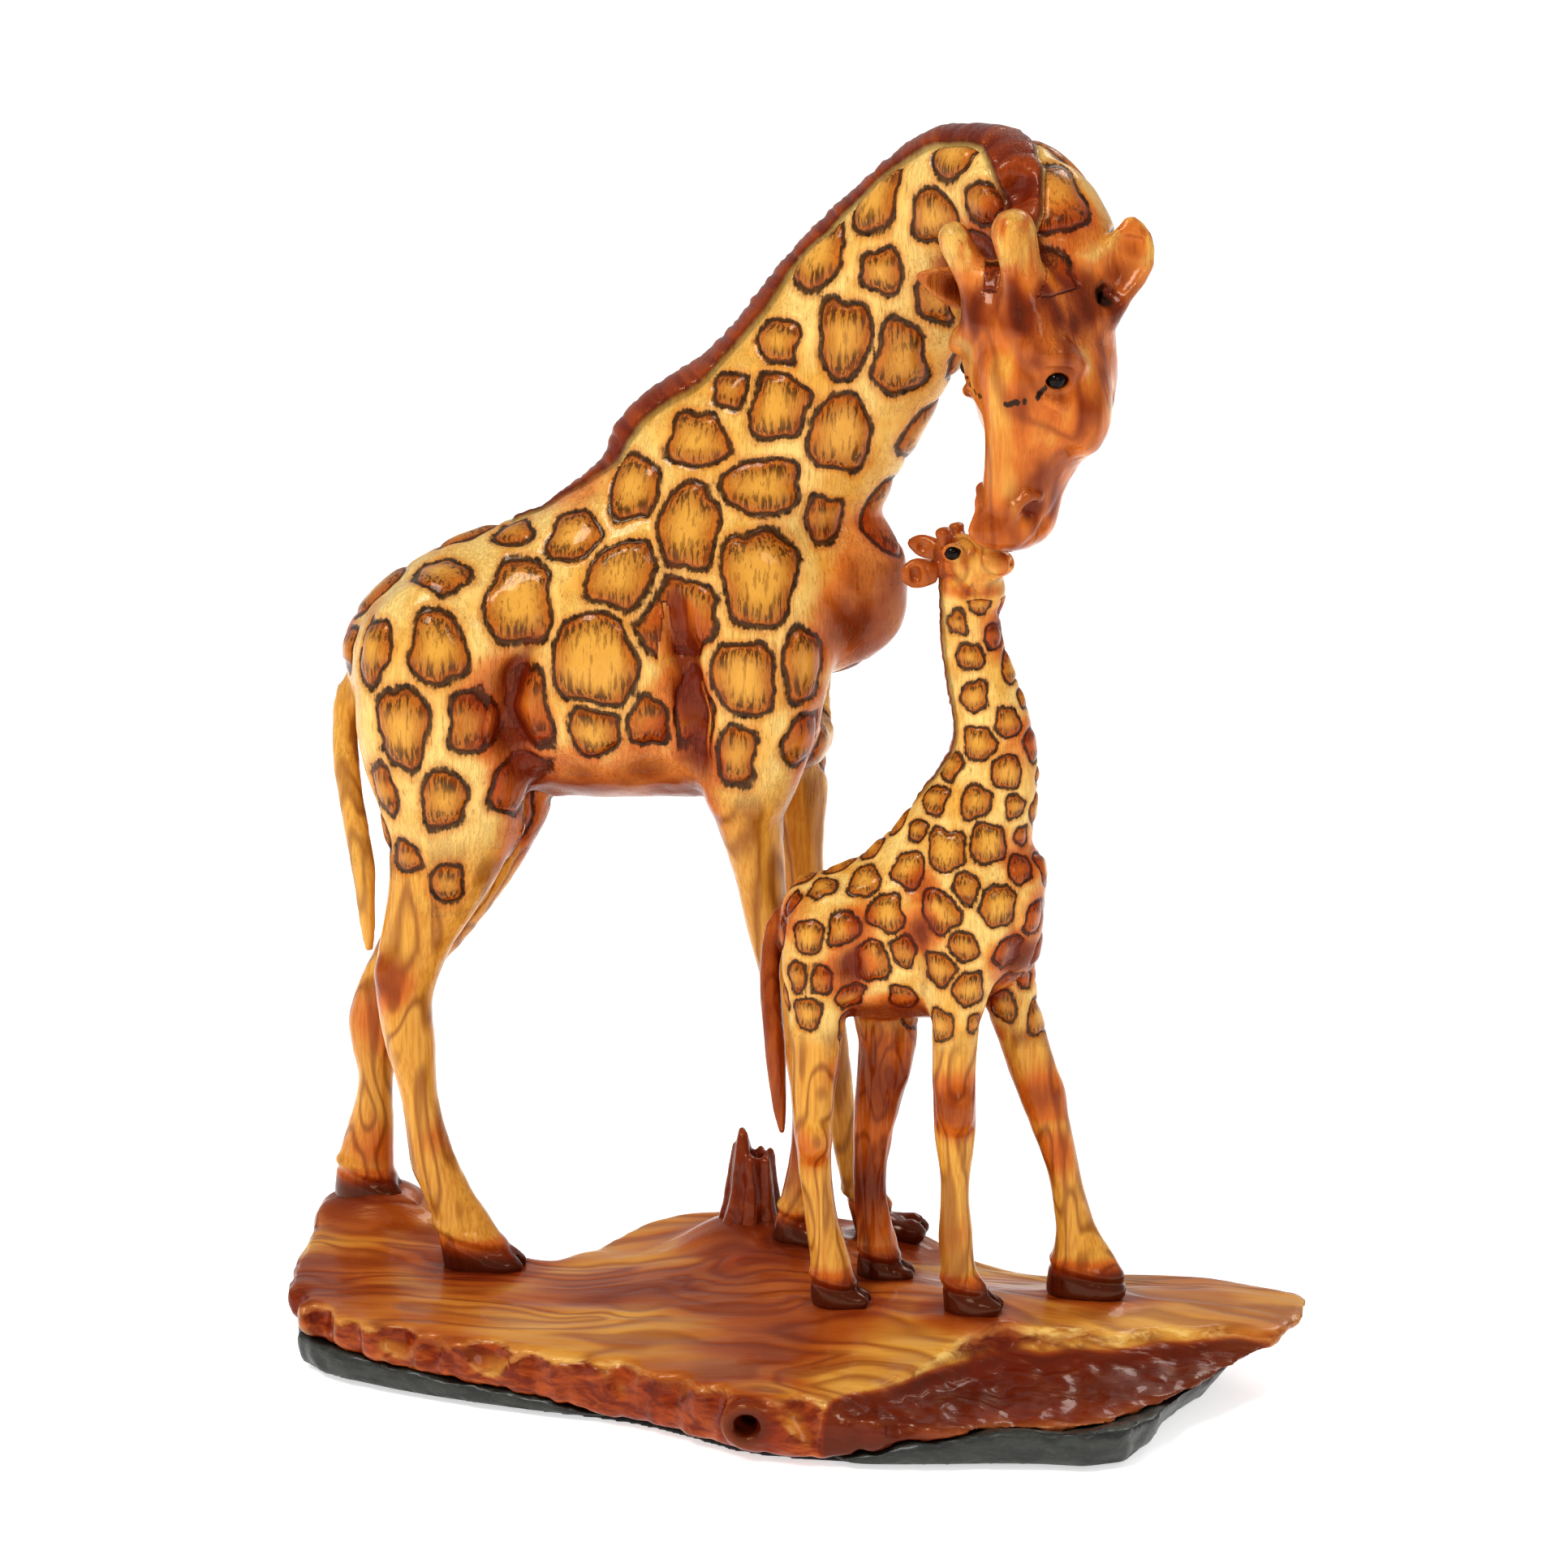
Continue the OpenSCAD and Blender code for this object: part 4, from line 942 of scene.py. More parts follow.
def cup_ears(clay):
    """Hollows both ears and sinks the hole at the root of the left one."""
    left, right = np.array([54.2, -7.0, 204]), np.array([37.3, 3.6, 204])
    for place, radii in (((2.2, -2.8, 4.6), (3.0, 2.6, 3.6)), ((3.8, -2.1, 8.6), (4.1, 2.8, 4.6)),
                         ((4.7, -0.6, 12.2), (3.1, 2.2, 3.8))):
        clay.egg(left + place, radii, k=0.8, cut=True)
    clay.egg(left + (1.2, -2.2, 4), (1.8, 2.8, 1.8), k=0.5, cut=True)
    for place, radii in (((-6, -3.4, 1.8), (3.6, 1.5, 2.2)), ((-10.5, -4.7, 3.2), (3.4, 1.3, 2.4))):
        clay.egg(right + place, radii, k=0.8, cut=True)


def mother_figure(low, high, cell):
    clay = Clay(Grid(low, high, cell))
    clay.add(["mother_body", "mother_head"] + MOTHER_LEGS, 1.0)
    clay.add(["mother_neck_dowel", "mother_hip_dowels"], 1.0)
    shape_trunk(clay)
    clay.soften(1.5, swell=0.15)
    cut_hooves(clay, MOTHER_FEET, 1.0)
    shape_face(clay)
    clay.add(CROWN + ["mother_tail"], 2.0)
    for root in CROWN_ROOTS:
        clay.egg(root, (4, 3.6, 4.4), k=3)
    cup_ears(clay)
    clay.soften(0.3)
    return clay


# the spots found on the first skin of the mother, used again where her neck is carved finer
SHARED_SPOTS = []


def near_parts(clay, points, names):
    """1 on the skin of some of a figure's nodes, 0 elsewhere."""
    distance = np.full(len(points), FAR)
    for name in names:
        if name in clay.parts:
            distance = np.minimum(distance, clay.parts[name].distance(points))
    return ease(distance, 1.0, 0.5)


def mother_marks(clay, points, normals):
    """What the mother's relief and materials need to know about each point."""
    x, y, z = points.T
    marks = {}
    depth, along = inside_band(points, NAPE)
    marks["mane"] = depth + 0.7 * noise(points, 6, 3)
    marks["hair"] = hair_strokes(depth, along, 1.5)
    marks["crease"] = clay.crease(points, 1.6)
    on_face = ease(z, 212, 206) * ease(x, 22, 28) * ease(y, 12, 6)
    low_leg = ease(z, 104, 92)
    low_leg = np.maximum(low_leg, ease(z, 116, 106) * (x > -30))
    crown = near_parts(clay, points, CROWN)
    tail = near_parts(clay, points, ["mother_tail"])
    marks["plain"] = np.maximum.reduce([low_leg, 0.8 * on_face, 0.35 * crown, tail])
    belly = ease(z, 118, 109) * ease(-abs(x + 38), -24, -16) * ease(normals[:, 2], 0.2, -0.6)
    chest = ease(x, 2, 8) * ease(abs(z - 142), 24, 8) * ease(normals[:, 0], -0.1, 0.5)
    bare = np.maximum.reduce([low_leg, on_face, belly, chest, crown, tail, ease(z, 96, 90),
                              ease(marks["mane"], -1.5, 0.5)])
    spots = Spots(points, normals, 11)
    spots.found = SHARED_SPOTS
    if not SHARED_SPOTS:
        for sx, sz, half_width, half_height in MOTHER_SPOTS:
            spots.place(sx, sz, half_width, half_height, -1)
        for sx, sz, half_width, half_height in MOTHER_SPOTS:
            spots.place(sx + 2 * math.sin(sx + sz), sz + 2 * math.sin(sz), half_width, half_height, 1)
        spots.fill(bare < 0.3, 6.5, 2.4)
    spot, marks["rise"] = spots.marks(1.7)
    covered = np.maximum.reduce([on_face, crown, tail, ease(marks["mane"], -1.2, 0.2)])
    marks["spot"] = spot + NO_SPOT * ease(covered, 0.4, 0.9)
    stains = [(-23, 5, 142, 6, 0.9), (-21, 6, 130, 6, 1), (-20, 7, 117, 6, 1), (-57, 5, 130, 7, 0.8),
              (-54, 5, 120, 7, 1), (-52, 8, 112, 8, 1), (-24, 12, 107, 9, 1), (-38, 12, 105, 12, 0.9),
              (-50, 12, 106, 8, 0.9), (-42, 8, 113, 7, 0.8), (-30, 8, 113, 8, 0.9), (-34, 8, 108, 9, 1),
              (-27, 6, 122, 5, 0.6), (-86, 14, 148, 7, 0.7), (-92, 22, 136, 9, 0.6),
              (8, 14, 142, 10, 1.0), (9, 20, 155, 9, 0.8), (6, 8, 124, 8, 1), (2, 10, 116, 6, 0.7),
              (40, -4, 220, 7, 1.1), (47, -6, 218, 6, 0.9), (34, -2, 214, 7, 0.9), (31, 0, 206, 5, 0.8),
              (50, -4, 208, 5, 0.9), (2, 14, 60, 8, 0.7), (-1, 12, 46, 9, 1), (2, 16, 34, 8, 0.7),
              (-80, 9, 71, 6, 0.8), (-84, 36, 58, 9, 1.1), (-70, 9, 40, 5, 0.4), (-88, 34, 30, 7, 0.7),
              (-40, 22, 172, 8, 0.6), (-44, 20, 164, 8, 0.6)]
    # the ears and the tail
    stains += [(57.5, -8, 211, 4.5, 1.1), (56, -8, 207, 3, 1.1), (59, -6, 215, 3, 0.8),
               (33, 0, 205, 4, 1.1), (27, 2, 207, 5, 1.1), (21, 0, 208, 4, 0.8),
               (-96, 20, 120, 5, 0.4), (-96, 20, 104, 5, 0.5), (-93, 20, 90, 6, 0.7)]
    face = [(0, 10, 203, 7, 1.2), (5, 10, 201, 4, 1.0), (-9, 8, 198, 5, 1.1), (-5, 10, 203, 5, 1.1),
            (9, 4, 202, 5, 0.9), (6, 4, 176, 5, 0.9), (5.5, 4, 171, 4, 1.1), (0, 7, 168, 6, 0.9),
            (-5, 5, 172, 6, 0.9), (0, 3, 163, 6, 1.1), (10, 8, 191, 3, 0.7), (9, 0, 180, 4, 0.4)]
    stains += [(*on_head(left, front, at), r, k) for left, front, at, r, k in face]
    hoof = foot_marks(points, MOTHER_FEET)
    ragged = z + 2.2 * noise(points, (3, 3, 6), 15)
    horn_root = ease(ragged, 218, 207) * ease(ragged, 197, 205) * ease(y, 4, 1) * ease(x, 26, 30)
    horn_root *= 0.95 + 0.4 * noise(points, (2.5, 2.5, 7), 16)
    brown_face = on_face * (0.5 + 0.5 * noise(points, (2.6, 2.6, 9), 17))
    streaked_crown = crown * (0.2 + 0.45 * noise(points, (1.3, 1.3, 6), 19))
    marks["stain"] = np.maximum.reduce([patches(points, stains), 1.7 * hoof, horn_root,
                                        brown_face, streaked_crown, 0.9 * belly, 0.8 * chest])
    # near-black paint on the lash line and a ring on the cheek, and painted shade in small pits, the
    # nostrils and the hole of the ear
    dots = [(-16.6, 5, 131, 0.8, 1), (-15, 4.4, 122, 0.9, 1), (-6, 3.7, 123, 0.9, 1),
            (39.4, -17.3, 183, 0.9, 1), (55.4, -9.2, 208, 2.4, 1.3), (22, 14, 184, 0.9, 1)]
    dots += [(*on_head(left, front, at), r, k) for left, front, at, r, k in
             [(5.6, 5.4, 170.4, 1.1, 0.8), (-5.6, 5.4, 170.4, 1.1, 0.8)]]
    ring = abs(np.linalg.norm(points - [51.3, -14.2, 185], axis=1) - 1.4)
    marks["ink"] = np.maximum(patches(points, dots), bell(ring, 0.45)) + 0.2 * noise(points, 1.1, 12)
    for side in (1, -1):
        lash = [(*on_head(side * left, front, at), width) for left, front, at, width in
                [(8.8, 10.5, 192.6, 0.55), (7, 11.6, 191, 0.35), (4.5, 12.6, 190.2, 0.2),
                 (1.5, 13.2, 189.6, -0.1)]]
        depth, _ = inside_band(points, lash)
        broken = 0.75 * noise(points, (0.6, 0.6, 1.5), 14)
        marks["ink"] = np.maximum(marks["ink"], ease(depth + broken, -0.7, 0.6))
    return marks


def mother_relief(points, normals, marks):
    """How far each point of the mother moves out along its normal."""
    mane = marks["mane"]
    height = engraved(marks["spot"], 1.0)
    height += 0.5 * ease(mane, -0.3, 0.8) - 0.35 * bell(mane + 0.3, 0.7)
    height += 0.24 * marks["hair"] * ease(mane, -0.5, 1)
    long_grain = noise(points, (1.5, 1.5, 12), 31) + 0.5 * noise(points, (0.9, 0.9, 8), 32)
    height += 0.1 * long_grain * marks["plain"]
    height += 0.16 * noise(points, (5, 5, 7), 33) + 0.05 * noise(points, 1.6, 34)
    height += coronet(points, MOTHER_FEET, 1.0)
    return height


def relieve(clay, make_marks, relief):
    """The finished skin of a figure: its points, faces and marks."""
    points, quads = clay.skin()
    normals = normals_of(points, quads)
    marks = make_marks(clay, points, normals)
    points = points + normals * relief(points, normals, marks)[:, None]
    return points, quads, marks


# ---------- the calf ----------

CALF_LEGS = ["calf_leg_front_left", "calf_leg_front_right",
             "calf_leg_hind_left", "calf_leg_hind_right"]
CALF_CROWN = ["calf_horn_left", "calf_horn_right", "calf_ear_left", "calf_ear_right"]
CALF_FEET = [(53.5, 3, 17.5), (33, -11, 18), (15, 3, 18.5), (8.5, -11, 18)]
CALF_NAPE = [(19, -3, 106, 0.5), (25, -3, 118, 2), (29, -3, 126, 2.6), (28, -3, 136, 2.8),
             (27, -3, 147, 2.8), (25, -3.5, 155, 2.5)]

# spots on the side that faces the viewer: x, z, radius
CALF_SPOTS = [
    (5, 98, 2.6), (13, 100, 2.8), (21, 103, 3), (28, 107, 3.4), (36, 108, 3.4), (25, 115, 2.6),
    (33, 116, 2.8), (39, 121, 2.8), (33, 126, 2.8), (39, 130, 2.4), (32, 134, 2.6),
    (31, 142, 2.3), (29, 148, 2), (3, 90, 2.8), (10, 92, 3), (17, 95, 3.2), (27, 96, 3.6),
    (32, 100, 2.6), (38, 97, 3.4), (15, 85, 3.6), (20, 87, 2.6), (27, 85, 3), (32, 89, 2.6),
    (33, 81, 3), (1, 82, 2.6), (6, 82, 2.6), (3, 75, 2.6), (20, 78, 2.4)]


def calf_figure(low, high, cell):
    clay = Clay(Grid(low, high, cell))
    clay.add(["calf_body", "calf_head"] + CALF_LEGS, 0.7)
    clay.add(["calf_neck_dowel", "calf_hip_dowels"], 0.7)
    for side in (1, -1):
        y = -3 + 7.5 * side
        clay.egg((31, y, 92), (6.5, 3, 12), k=3)
        clay.egg((6, y, 88), (6.5, 3, 9), k=3)
        for hollow in (((13, 10.4, 93), (11, 10.4, 85), (13, 9.6, 77)),
                       ((24, 11.4, 98), (24, 11.6, 90), (24, 10.6, 79)),
                       ((40, 8, 94), (41, 7.4, 87), (39, 7.6, 79))):
            clay.path([(x, -3 + depth * side, z) for x, depth, z in hollow],
                      [0.4, 1.3, 0.9], k=2, cut=True)
    clay.soften(0.9, swell=0.08)
    cut_hooves(clay, CALF_FEET, 0.72)
    for x, y, z in ((30.8, -15, 58), (45.5, 2, 56), (4.5, -14.5, 51)):
        clay.egg((x, y + 1.2, z), (2.6, 2.2, 3.6), k=2)
    # the little face looks up and along +X
    for x, y, side in ((28.4, -8.5, -1), (30.9, -0.6, 1)):
        eye_rim(clay, (x, y, 160.6), (0.15, 0.98 * side, 0.1), (0.95, 0, 0.3), 0.72)
        clay.path([(34, y, 157), (38, y - 0.4 * side, 158.5), (42, y - 1.5 * side, 161)],
                  [0.3, 0.45, 0.3], k=0.6, cut=True)
        clay.egg((42.5, y - 0.8 * side, 164.5), (0.7, 0.8, 0.7), k=0.5, cut=True)
        clay.path([(28, y - 0.6 * side, 156), (31, y, 153), (35, y - 0.5 * side, 152)],
                  [0.5, 0.7, 0.4], k=1.2, cut=True)
    clay.add(CALF_CROWN + ["calf_tail"], 1.0)
    clay.soften(0.3)
    return clay


def calf_marks(clay, points, normals):
    """What the calf's relief and materials need to know about each point."""
    z = points[:, 2]
    marks = {"crease": 1.5 * clay.crease(points, 1.1)}
    depth, along = inside_band(points, CALF_NAPE)
    marks["mane"] = depth + 0.4 * noise(points, 4, 5)
    marks["hair"] = hair_strokes(depth, along, 1.0)
    head = ease(z, 150, 154)
    low_leg = ease(z, 74, 68)
    tail = near_parts(clay, points, ["calf_tail"])
    crown = near_parts(clay, points, CALF_CROWN)
    marks["plain"] = np.maximum.reduce([low_leg, 0.8 * head, tail])
    belly = ease(z, 82, 77) * ease(normals[:, 2], 0, -0.7)
    bare = np.maximum.reduce([low_leg, head, belly, tail, ease(marks["mane"], -1, 0.3)])
    spots = Spots(points, normals, 17)
    for sx, sz, radius in CALF_SPOTS:
        spots.place(sx, sz, radius, radius * 1.1, -1)
    for sx, sz, radius in CALF_SPOTS:
        spots.place(sx + math.sin(sz), sz + math.sin(sx), radius, radius * 1.1, 1)
    spots.fill(bare < 0.3, 3, 1.3)
    spot, marks["rise"] = spots.marks(1.0)
    covered = np.maximum.reduce([head, tail, ease(marks["mane"], -0.8, 0.2)])
    marks["spot"] = spot + NO_SPOT * ease(covered, 0.4, 0.9)
    stains = [(11, -12, 84, 5, 0.9), (13, -11, 92, 4, 0.7), (24, -13, 92, 4, 0.8),
              (24, -12, 100, 4, 0.6), (41, -8, 86, 6, 1.0), (44, -3, 94, 7, 0.9), (43, -3, 84, 6, 0.9),
              (41, -6, 104, 6, 0.6), (40, -4, 126, 5, 0.7), (37, -4, 146, 5, 0.8),
              (30, -13, 59, 6, 0.9), (45, 1, 57, 6, 0.7), (47, -1, 46, 6, 0.5), (16, 4, 58, 12, 0.9),
              (12, 3, 38, 12, 0.9), (-1, -8, 92, 5, 0.7), (-3, -5, 82, 6, 0.6), (24, -6, 159, 5, 0.9),
              (4, -12, 50, 5, 0.5), (30, -12, 34, 4, 0.3), (8, -9, 64, 5, 0.5)]
    hoof = foot_marks(points, CALF_FEET)
    brown_face = head * (0.35 + 0.35 * noise(points, (1.8, 1.8, 3), 18))
    marks["stain"] = np.maximum.reduce([1.15 * patches(points, stains), 1.7 * hoof, 0.9 * belly,
                                        0.8 * tail, 0.75 * crown, brown_face])
    # painted shade in the two nostril hollows, and a dark mark at the corner of the eye
    dots = [(42.3, -8, 165, 0.6, 1), (42.3, -1, 165, 0.6, 1), (27.5, -8.6, 160, 0.8, 0.8)]
    marks["ink"] = patches(points, dots) + 0.1 * noise(points, 1.1, 13)
    return marks


def calf_relief(points, normals, marks):
    mane = marks["mane"]
    height = engraved(marks["spot"], 0.62)
    height += (0.2 + 0.16 * marks["hair"]) * ease(mane, -0.2, 0.5)
    ridges = noise(points, (1.1, 1.1, 11), 43)
    web = patches(points, [(14, 4, 62, 9, 1), (13, 4, 48, 10, 1), (13, 4, 34, 8, 1)])
    height += 0.35 * ridges * web
    height += 0.08 * ridges * marks["plain"]
    height += 0.1 * noise(points, (3, 3, 4), 44)
    return height + coronet(points, CALF_FEET, 0.7)


# ---------- the slab, its dark sole and the stump ----------

def past_terrace_edge(x, y):
    """How far a place is beyond the edge where the top breaks down at the front right."""
    sides = []
    for a, b in (((8, -48), (34, -19)), ((34, -19), (90, 0))):
        length = math.hypot(b[0] - a[0], b[1] - a[1])
        sides.append(((x - a[0]) * (b[1] - a[1]) - (y - a[1]) * (b[0] - a[0])) / length)
    return np.minimum(*sides) + 0.9 * np.sin(x / 5.3) + 0.5 * np.sin(x / 2.1 + 1)


def clay_of(node, cell, below, above):
    """Clay that holds one CAD node, with room below and above it on all three axes."""
    low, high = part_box(node)
    clay = Clay(Grid(np.array(low) / MM - below, np.array(high) / MM + above, cell))
    clay.add([node], 0.5)
    return clay


def slab_figure():
    clay = clay_of("base_slab", SLAB_CELL, 5, 7)
    for x, y, z in MOTHER_FEET:
        clay.egg((x, y, z - 3), (8.5, 7.5, 5.5), k=4)
    for x, y, z in CALF_FEET:
        clay.egg((x, y, z - 3.4), (7, 6, 4.5), k=4)
    clay.egg((-12.8, 22.5, 18), (10, 9, 5), k=5)
    # the far hind hoof stands on a swelling that runs down to the rim
    clay.path([(-85, 33, 15), (-92, 34, 11)], [7, 4.5], k=7)
    clay.soften(1.1, swell=0.05)
    # the bevelled terrace at the front right: a drop at its edge, then a slope to the rim
    slices, (x, y, z) = clay.grid.window((0, -60, 0), (110, 40, 30))
    beyond = past_terrace_edge(x, y)
    top = 13.8 - 2.4 * ease(beyond, 0, 4) - 0.18 * beyond + 40 * (beyond < 0)
    block = clay.field[slices]
    clay.field[slices] = -melt(-block, (top - z).astype(np.float32), 1.2)
    # scallops chopped out of the front edge
    for step in range(24):
        x = -96 + 7.2 * step + 2 * math.sin(5 * step)
        y = np.interp(x, [-97, -93, -76, -54, -32, -18, -5, 12, 28, 46, 65, 78, 90],
                      [-4, -14, -23, -29, -33, -39, -46, -48, -47, -44.5, -41, -19, -3])
        size = 4.0 + 1.5 * math.sin(2.3 * step)
        drop = 2.5 * math.sin(1.7 * step)
        clay.path([(x, y - 1.0, 14 + drop), (x + 2.5 * math.sin(step), y - 2.0, 4)],
                  [size, 2.4], k=0.8, cut=True)
    # the knot in the front edge: a raised collar round a dark hole
    for turn in range(16):
        a, b = (2 * math.pi * (turn + step) / 16 for step in (0, 1))
        clay.bar((-3.5 + 3.6 * math.cos(a), -45.2, 7.5 + 3.2 * math.sin(a)),
                 (-3.5 + 3.6 * math.cos(b), -45.2, 7.5 + 3.2 * math.sin(b)), 1.1, k=1.2)
    clay.bar((-3.5, -47, 7.5), (-3.5, -40, 7), 1.9, 1.1, k=0.8, cut=True)
    clay.soften(0.5)
    return clay


def slab_marks(clay, points, normals):
    x, y = points[:, 0], points[:, 1]
    marks = {"crease": 1.2 * clay.crease(points, 1.6)}
    marks["side"] = ease(normals[:, 2] + 0.15 * noise(points, 4, 51), 0.62, 0.3)
    marks["rim"] = bell(normals[:, 2] - 0.6, 0.25) * ease(marks["crease"], 0.05, -0.3)
    stain = 0.35 + 0.65 * noise(points, (34, 20, 14), 64)
    for fx, fy, _ in MOTHER_FEET:
        stain = np.maximum(stain, 1.15 * bell(np.hypot(x - fx, y - fy), 14))
    for fx, fy, _ in CALF_FEET:
        stain = np.maximum(stain, bell(np.hypot((x - fx) / 1.3, y - fy), 9))
    # round the stump
    stain = np.maximum(stain, 1.15 * bell(np.hypot(x + 10, y - 22), 17))
    beyond = past_terrace_edge(x, y)
    terrace = ease(beyond, 0.3, 2) * (1 - 0.4 * ease(beyond, 10, 24))
    knot = bell(np.linalg.norm(points - [-3.5, -46, 7.5], axis=1), 6.5)
    marks["stain"] = np.maximum.reduce([stain, 1.1 * terrace, 1.4 * knot])
    marks["side"] = np.maximum(marks["side"], 0.8 * ease(beyond, 0.5, 2.5))
    return marks


def slab_relief(points, normals, marks):
    side = marks["side"]
    ridges = noise(points, (3.4, 3.4, 12), 52) + 0.5 * noise(points, (1.7, 1.7, 6), 53)
    flow = points + 5 * np.stack([noise(points, 26, s) for s in (54, 55, 56)], axis=1)
    grain = noise(flow, (26, 3.2, 40), 57) + 0.5 * noise(flow, (17, 1.6, 40), 58)
    chips = abs(noise(points, (4, 4, 3), 59)) - 0.4
    waves = noise(flow, (70, 9, 40), 60)
    height = side * (0.6 * ridges + 0.3 * chips) + (1 - side) * (0.25 * grain + 0.5 * waves - 0.15)
    return np.minimum(height, 0.35)


def sole_figure():
    clay = clay_of("bark_sole", SLAB_CELL, 5, 5)
    clay.soften(0.8)
    return clay


def sole_marks(clay, points, normals):
    return {"crease": clay.crease(points, 1.8)}


def sole_relief(points, normals, marks):
    rough = noise(points, (6, 6, 4), 61) + 0.6 * noise(points, (2.5, 2.5, 2), 62)
    low = points[:, 2] > 1.6
    return np.minimum(0.5 * rough * low - 0.1, 0.3)


def felt_figure():
    """The cloth pad, trimmed a little inside the outline of the wood that stands on it."""
    clay = clay_of("felt_pad", SLAB_CELL, 3, (3, 3, 8))
    wood = Clay(clay.grid)
    wood.add(["base_slab", "bark_sole"], 0.3)
    heights = (np.arange(clay.grid.shape[2]) + clay.grid.low[2]) * SLAB_CELL
    outline = wood.field[:, :, (heights > 1.5) & (heights < 7)].min(axis=2)
    clay.field = np.maximum(clay.field, outline[:, :, None] + 1.2)
    return clay


def felt_marks(clay, points, normals):
    """None, because the felt's material reads no marks."""
    return {}


def felt_relief(points, normals, marks):
    return -0.05 * abs(noise(points, 1.2, 63))


def stump_figure():
    clay = clay_of("stump", CALF_CELL, 5, 5)
    clay.soften(0.7, swell=0.1)
    x, y = -12.3, 22.5
    for turn in range(7):
        a = 2 * math.pi * turn / 7 + 0.3
        top = 34 + 3 * math.sin(2.6 * turn)
        clay.bar((x + 4.6 * math.cos(a), y + 4.3 * math.sin(a), 22),
                 (x + 3.6 * math.cos(a), y + 3.2 * math.sin(a), top), 1.4, 0.5, k=1)
        b = a + math.pi / 7
        clay.bar((x + 6.1 * math.cos(b), y + 5.8 * math.sin(b), 21),
                 (x + 4.6 * math.cos(b), y + 4.2 * math.sin(b), 38), 0.9, 1.3, k=0.8, cut=True)
    clay.egg((x + 0.8, y, 36.5), (1.6, 1.6, 3.5), k=1, cut=True)
    clay.soften(0.3)
    return clay


def stump_marks(clay, points, normals):
    return {"crease": clay.crease(points, 1.2), "stain": 1.1 - 0.5 * ease(points[:, 2], 36, 41)}


def stump_relief(points, normals, marks):
    return 0.3 * noise(points, (1.1, 1.1, 7), 71) + 0.2 * noise(points, (2, 2, 3), 72)


# ---------- putting it together ----------

HIDE, HORN, EAR, LEG, TAIL = (hide_material(part + "_wood", (11, 11, 34))
                              for part in ("hide", "horn", "ear", "leg", "tail"))
CALF_HIDE, CALF_LEG, CALF_EAR = (hide_material(name, (7, 7, 24), line_size=0.6)
                                 for name in ("calf_hide", "calf_leg_wood", "calf_ear_wood"))

MOTHER_TABLE = [("mother_body", "hide_wood", HIDE)]
MOTHER_TABLE += [(leg, "leg_wood", LEG) for leg in MOTHER_LEGS]
MOTHER_TABLE += [("mother_tail", "tail_wood", TAIL)]
HEAD_TABLE = [(node, "hide_wood", HIDE) for node in ("mother_body", "mother_head")]
HEAD_TABLE += [(node, "horn_wood", HORN) for node in CROWN[:2]]
HEAD_TABLE += [(node, "ear_wood", EAR) for node in CROWN[2:]]
CALF_TABLE = [(node, "hide_wood", CALF_HIDE) for node in ("calf_body", "calf_head")]
CALF_TABLE += [(leg, "leg_wood", CALF_LEG) for leg in CALF_LEGS]
CALF_TABLE += [(node, "horn_wood", CALF_EAR) for node in CALF_CROWN[:2]]
CALF_TABLE += [(node, "ear_wood", CALF_EAR) for node in CALF_CROWN[2:]]
CALF_TABLE += [("calf_tail", "tail_wood", CALF_EAR)]


# The mother's head and the top of her neck are carved finer than the rest of her. The two
# skins meet across the neck and overlap there by less than a millimetre.
NECK_CUT_X = 20
NECK_CUT_Z = 150
NECK_LAP = 0.7


def build(clay, table, make_marks, relief, prefix="carved_", low_x=-1e3, high_x=1e3):
    """Skins a figure and cuts it into the pieces of its table. Of a figure's high part, only
    the skin between low_x and high_x is kept."""
    points, quads, marks = relieve(clay, make_marks, relief)
    normals = normals_of(points, quads)
    middle = points[quads].mean(1)
    kept = (middle[:, 2] < NECK_CUT_Z) & (low_x < 0)
    kept |= (middle[:, 2] >= NECK_CUT_Z) & (middle[:, 0] > low_x) & (middle[:, 0] < high_x)
    quads = quads[kept]
    owners = owners_of(points, quads, clay.parts, [row[0] for row in table])
    split_pieces(points, quads, normals, marks, owners, table, prefix)


build(mother_figure((-98, -25, 9), (66, 43, 239), MOTHER_CELL), MOTHER_TABLE,
      mother_marks, mother_relief, high_x=NECK_CUT_X + NECK_LAP)
build(mother_figure((15, -34, 152), (70, 30, 239), HEAD_CELL), HEAD_TABLE,
      mother_marks, mother_relief, prefix="carved_fine_", low_x=NECK_CUT_X)
build(calf_figure((-12, -22, 14), (64, 14, 172), CALF_CELL), CALF_TABLE, calf_marks, calf_relief)
build(slab_figure(), [("base_slab", "slab_wood", slab_material())], slab_marks, slab_relief)
build(sole_figure(), [("bark_sole", "bark", bark_material())], sole_marks, sole_relief)
build(felt_figure(), [("felt_pad", "felt", felt_material())], felt_marks, felt_relief)
build(stump_figure(), [("stump", "stump_wood", stump_material())], stump_marks, stump_relief)


def repaint(names, material):
    for name in names:
        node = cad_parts[name]
        node.data.materials.clear()
        node.data.materials.append(material)


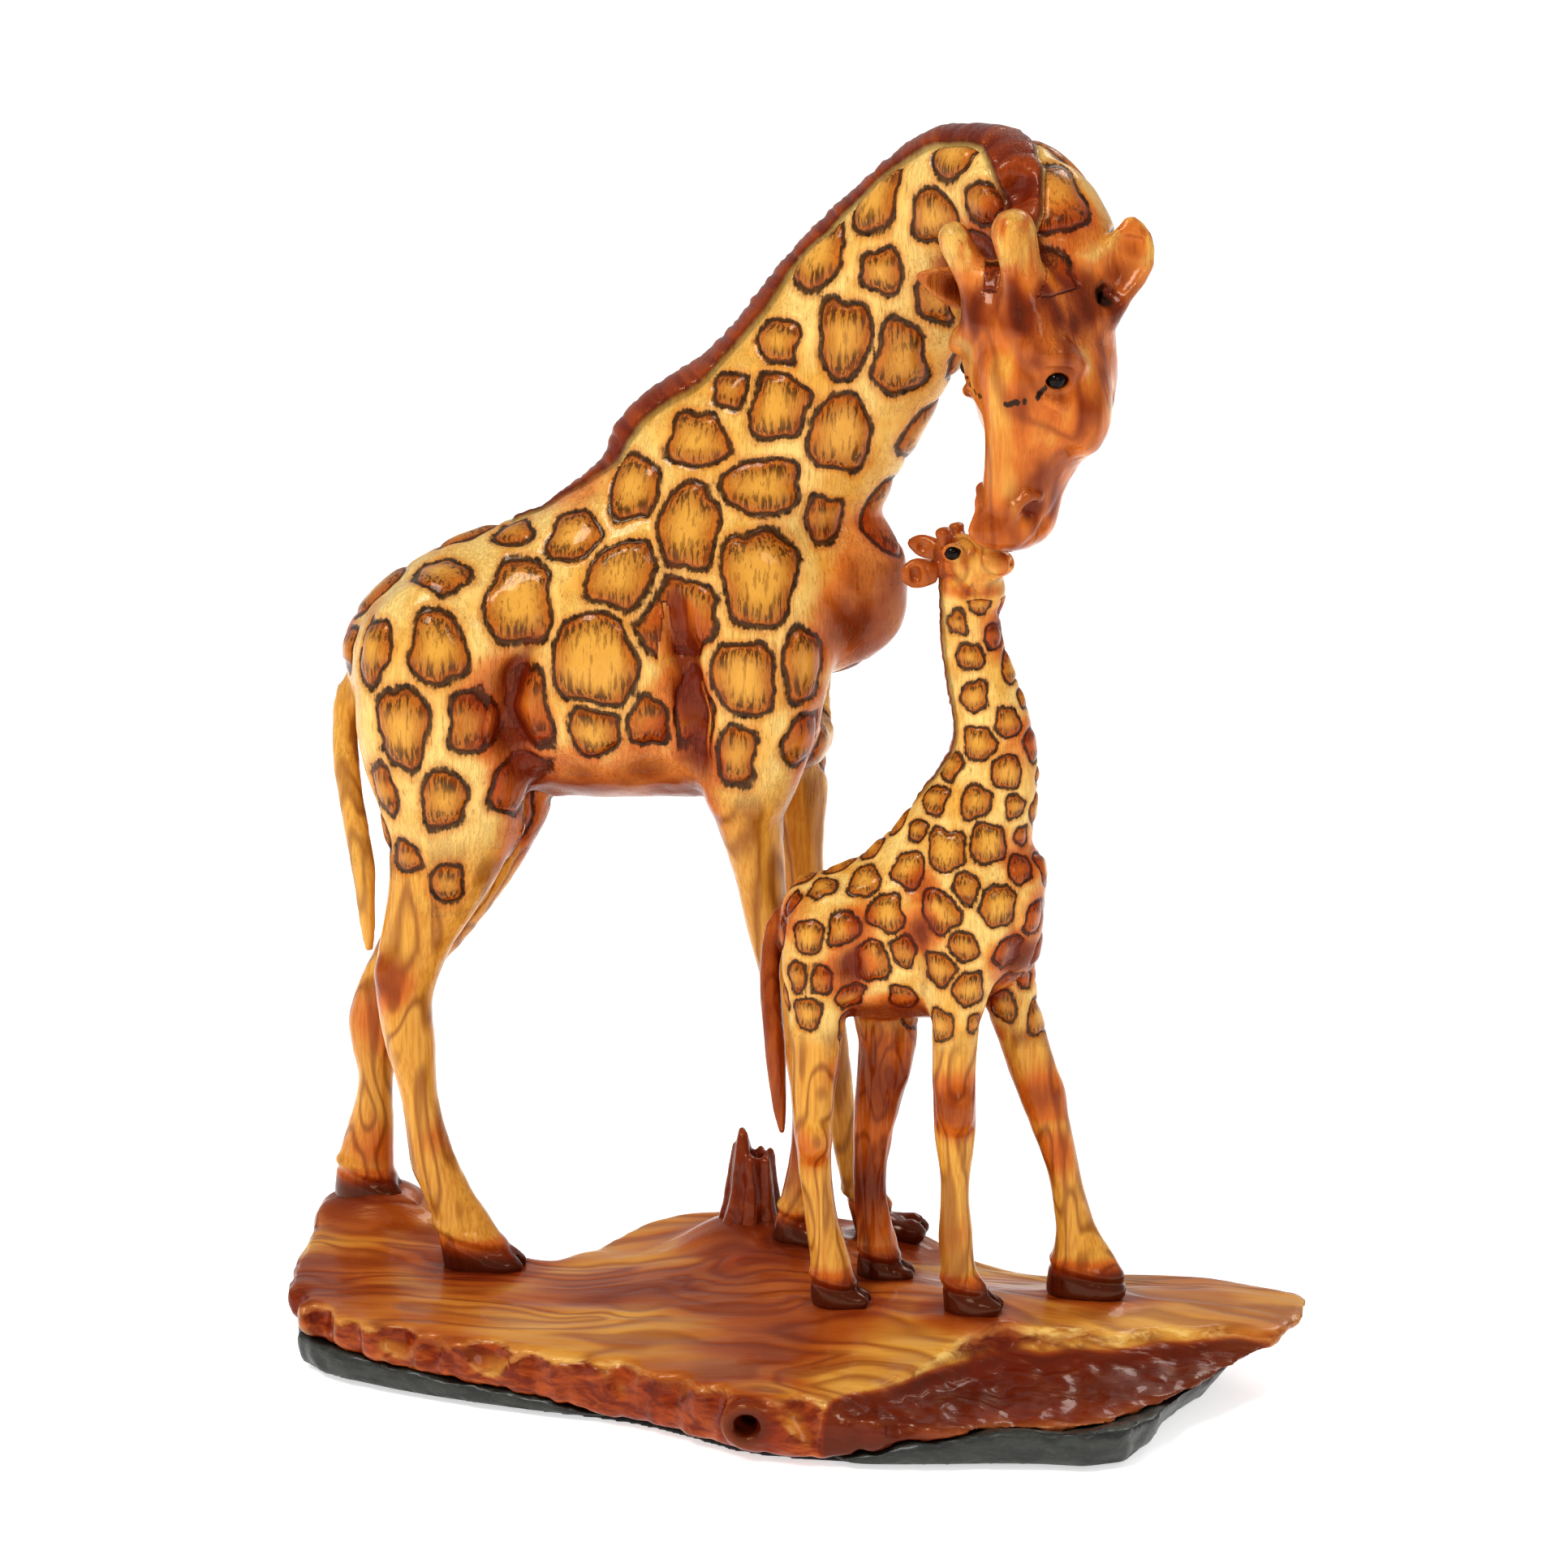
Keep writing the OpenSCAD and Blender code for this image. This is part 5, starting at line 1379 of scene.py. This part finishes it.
repaint(["mother_eyes", "calf_eyes"], eye_material())
repaint(["mother_neck_dowel", "mother_hip_dowels", "mother_hoof_pegs", "calf_neck_dowel",
         "calf_hip_dowels", "calf_hoof_pegs", "stump_peg"], dowel_material())


# ---------- camera, floor and light ----------

def place(name, data, location, target):
    """A lamp or camera at location, looking at target."""
    thing = bpy.data.objects.new(name, data)
    thing.location = location
    bpy.context.scene.collection.objects.link(thing)
    away = thing.location - Vector(target)
    thing.rotation_euler = away.to_track_quat("Z", "Y").to_euler()
    return thing


camera_data = bpy.data.cameras.new("camera")
camera_data.lens = 124.2
camera_data.sensor_width = 36
bpy.context.scene.camera = place("camera", camera_data, (0.1294, -0.9425, 0.3696),
                                 (-0.005, 0.014, 0.1108))

floor_mesh = bpy.data.meshes.new("floor")
reach = 3.0
floor_corners = [(-reach, -reach, 0), (reach, -reach, 0), (reach, reach, 0), (-reach, reach, 0)]
floor_mesh.from_pydata(floor_corners, [], [(0, 1, 2, 3)])
floor = bpy.data.objects.new("floor", floor_mesh)
bpy.context.scene.collection.objects.link(floor)
floor_paint = bpy.data.materials.new("floor")
floor_paint.use_nodes = True
floor_shader = floor_paint.node_tree.nodes["Principled BSDF"]
floor_shader.inputs["Base Color"].default_value = (0.95, 0.95, 0.95, 1)
floor_shader.inputs["Roughness"].default_value = 0.9
floor_shader.inputs["Emission Color"].default_value = (1, 1, 1, 1)
floor_shader.inputs["Emission Strength"].default_value = 0.5
floor_mesh.materials.append(floor_paint)


def lamp(name, watts, size, location, target=(0, 0, 0.1)):
    data = bpy.data.lights.new(name, "AREA")
    data.energy = watts
    data.shape = "SQUARE"
    data.size = size
    place(name, data, location, target)


lamp("key", 10.5, 0.5, (-0.6, -0.9, 1.3))
lamp("front", 2.2, 0.4, (0.6, -1.3, 0.9))
lamp("back", 4, 0.5, (0.5, 1.0, 1.1))
world = bpy.data.worlds.new("world")
world.use_nodes = True
world.node_tree.nodes["Background"].inputs["Color"].default_value = (1, 1, 1, 1)
world.node_tree.nodes["Background"].inputs["Strength"].default_value = 0.45
bpy.context.scene.world = world
bpy.context.scene.view_settings.view_transform = "Standard"
bpy.context.scene.view_settings.look = "Medium High Contrast"
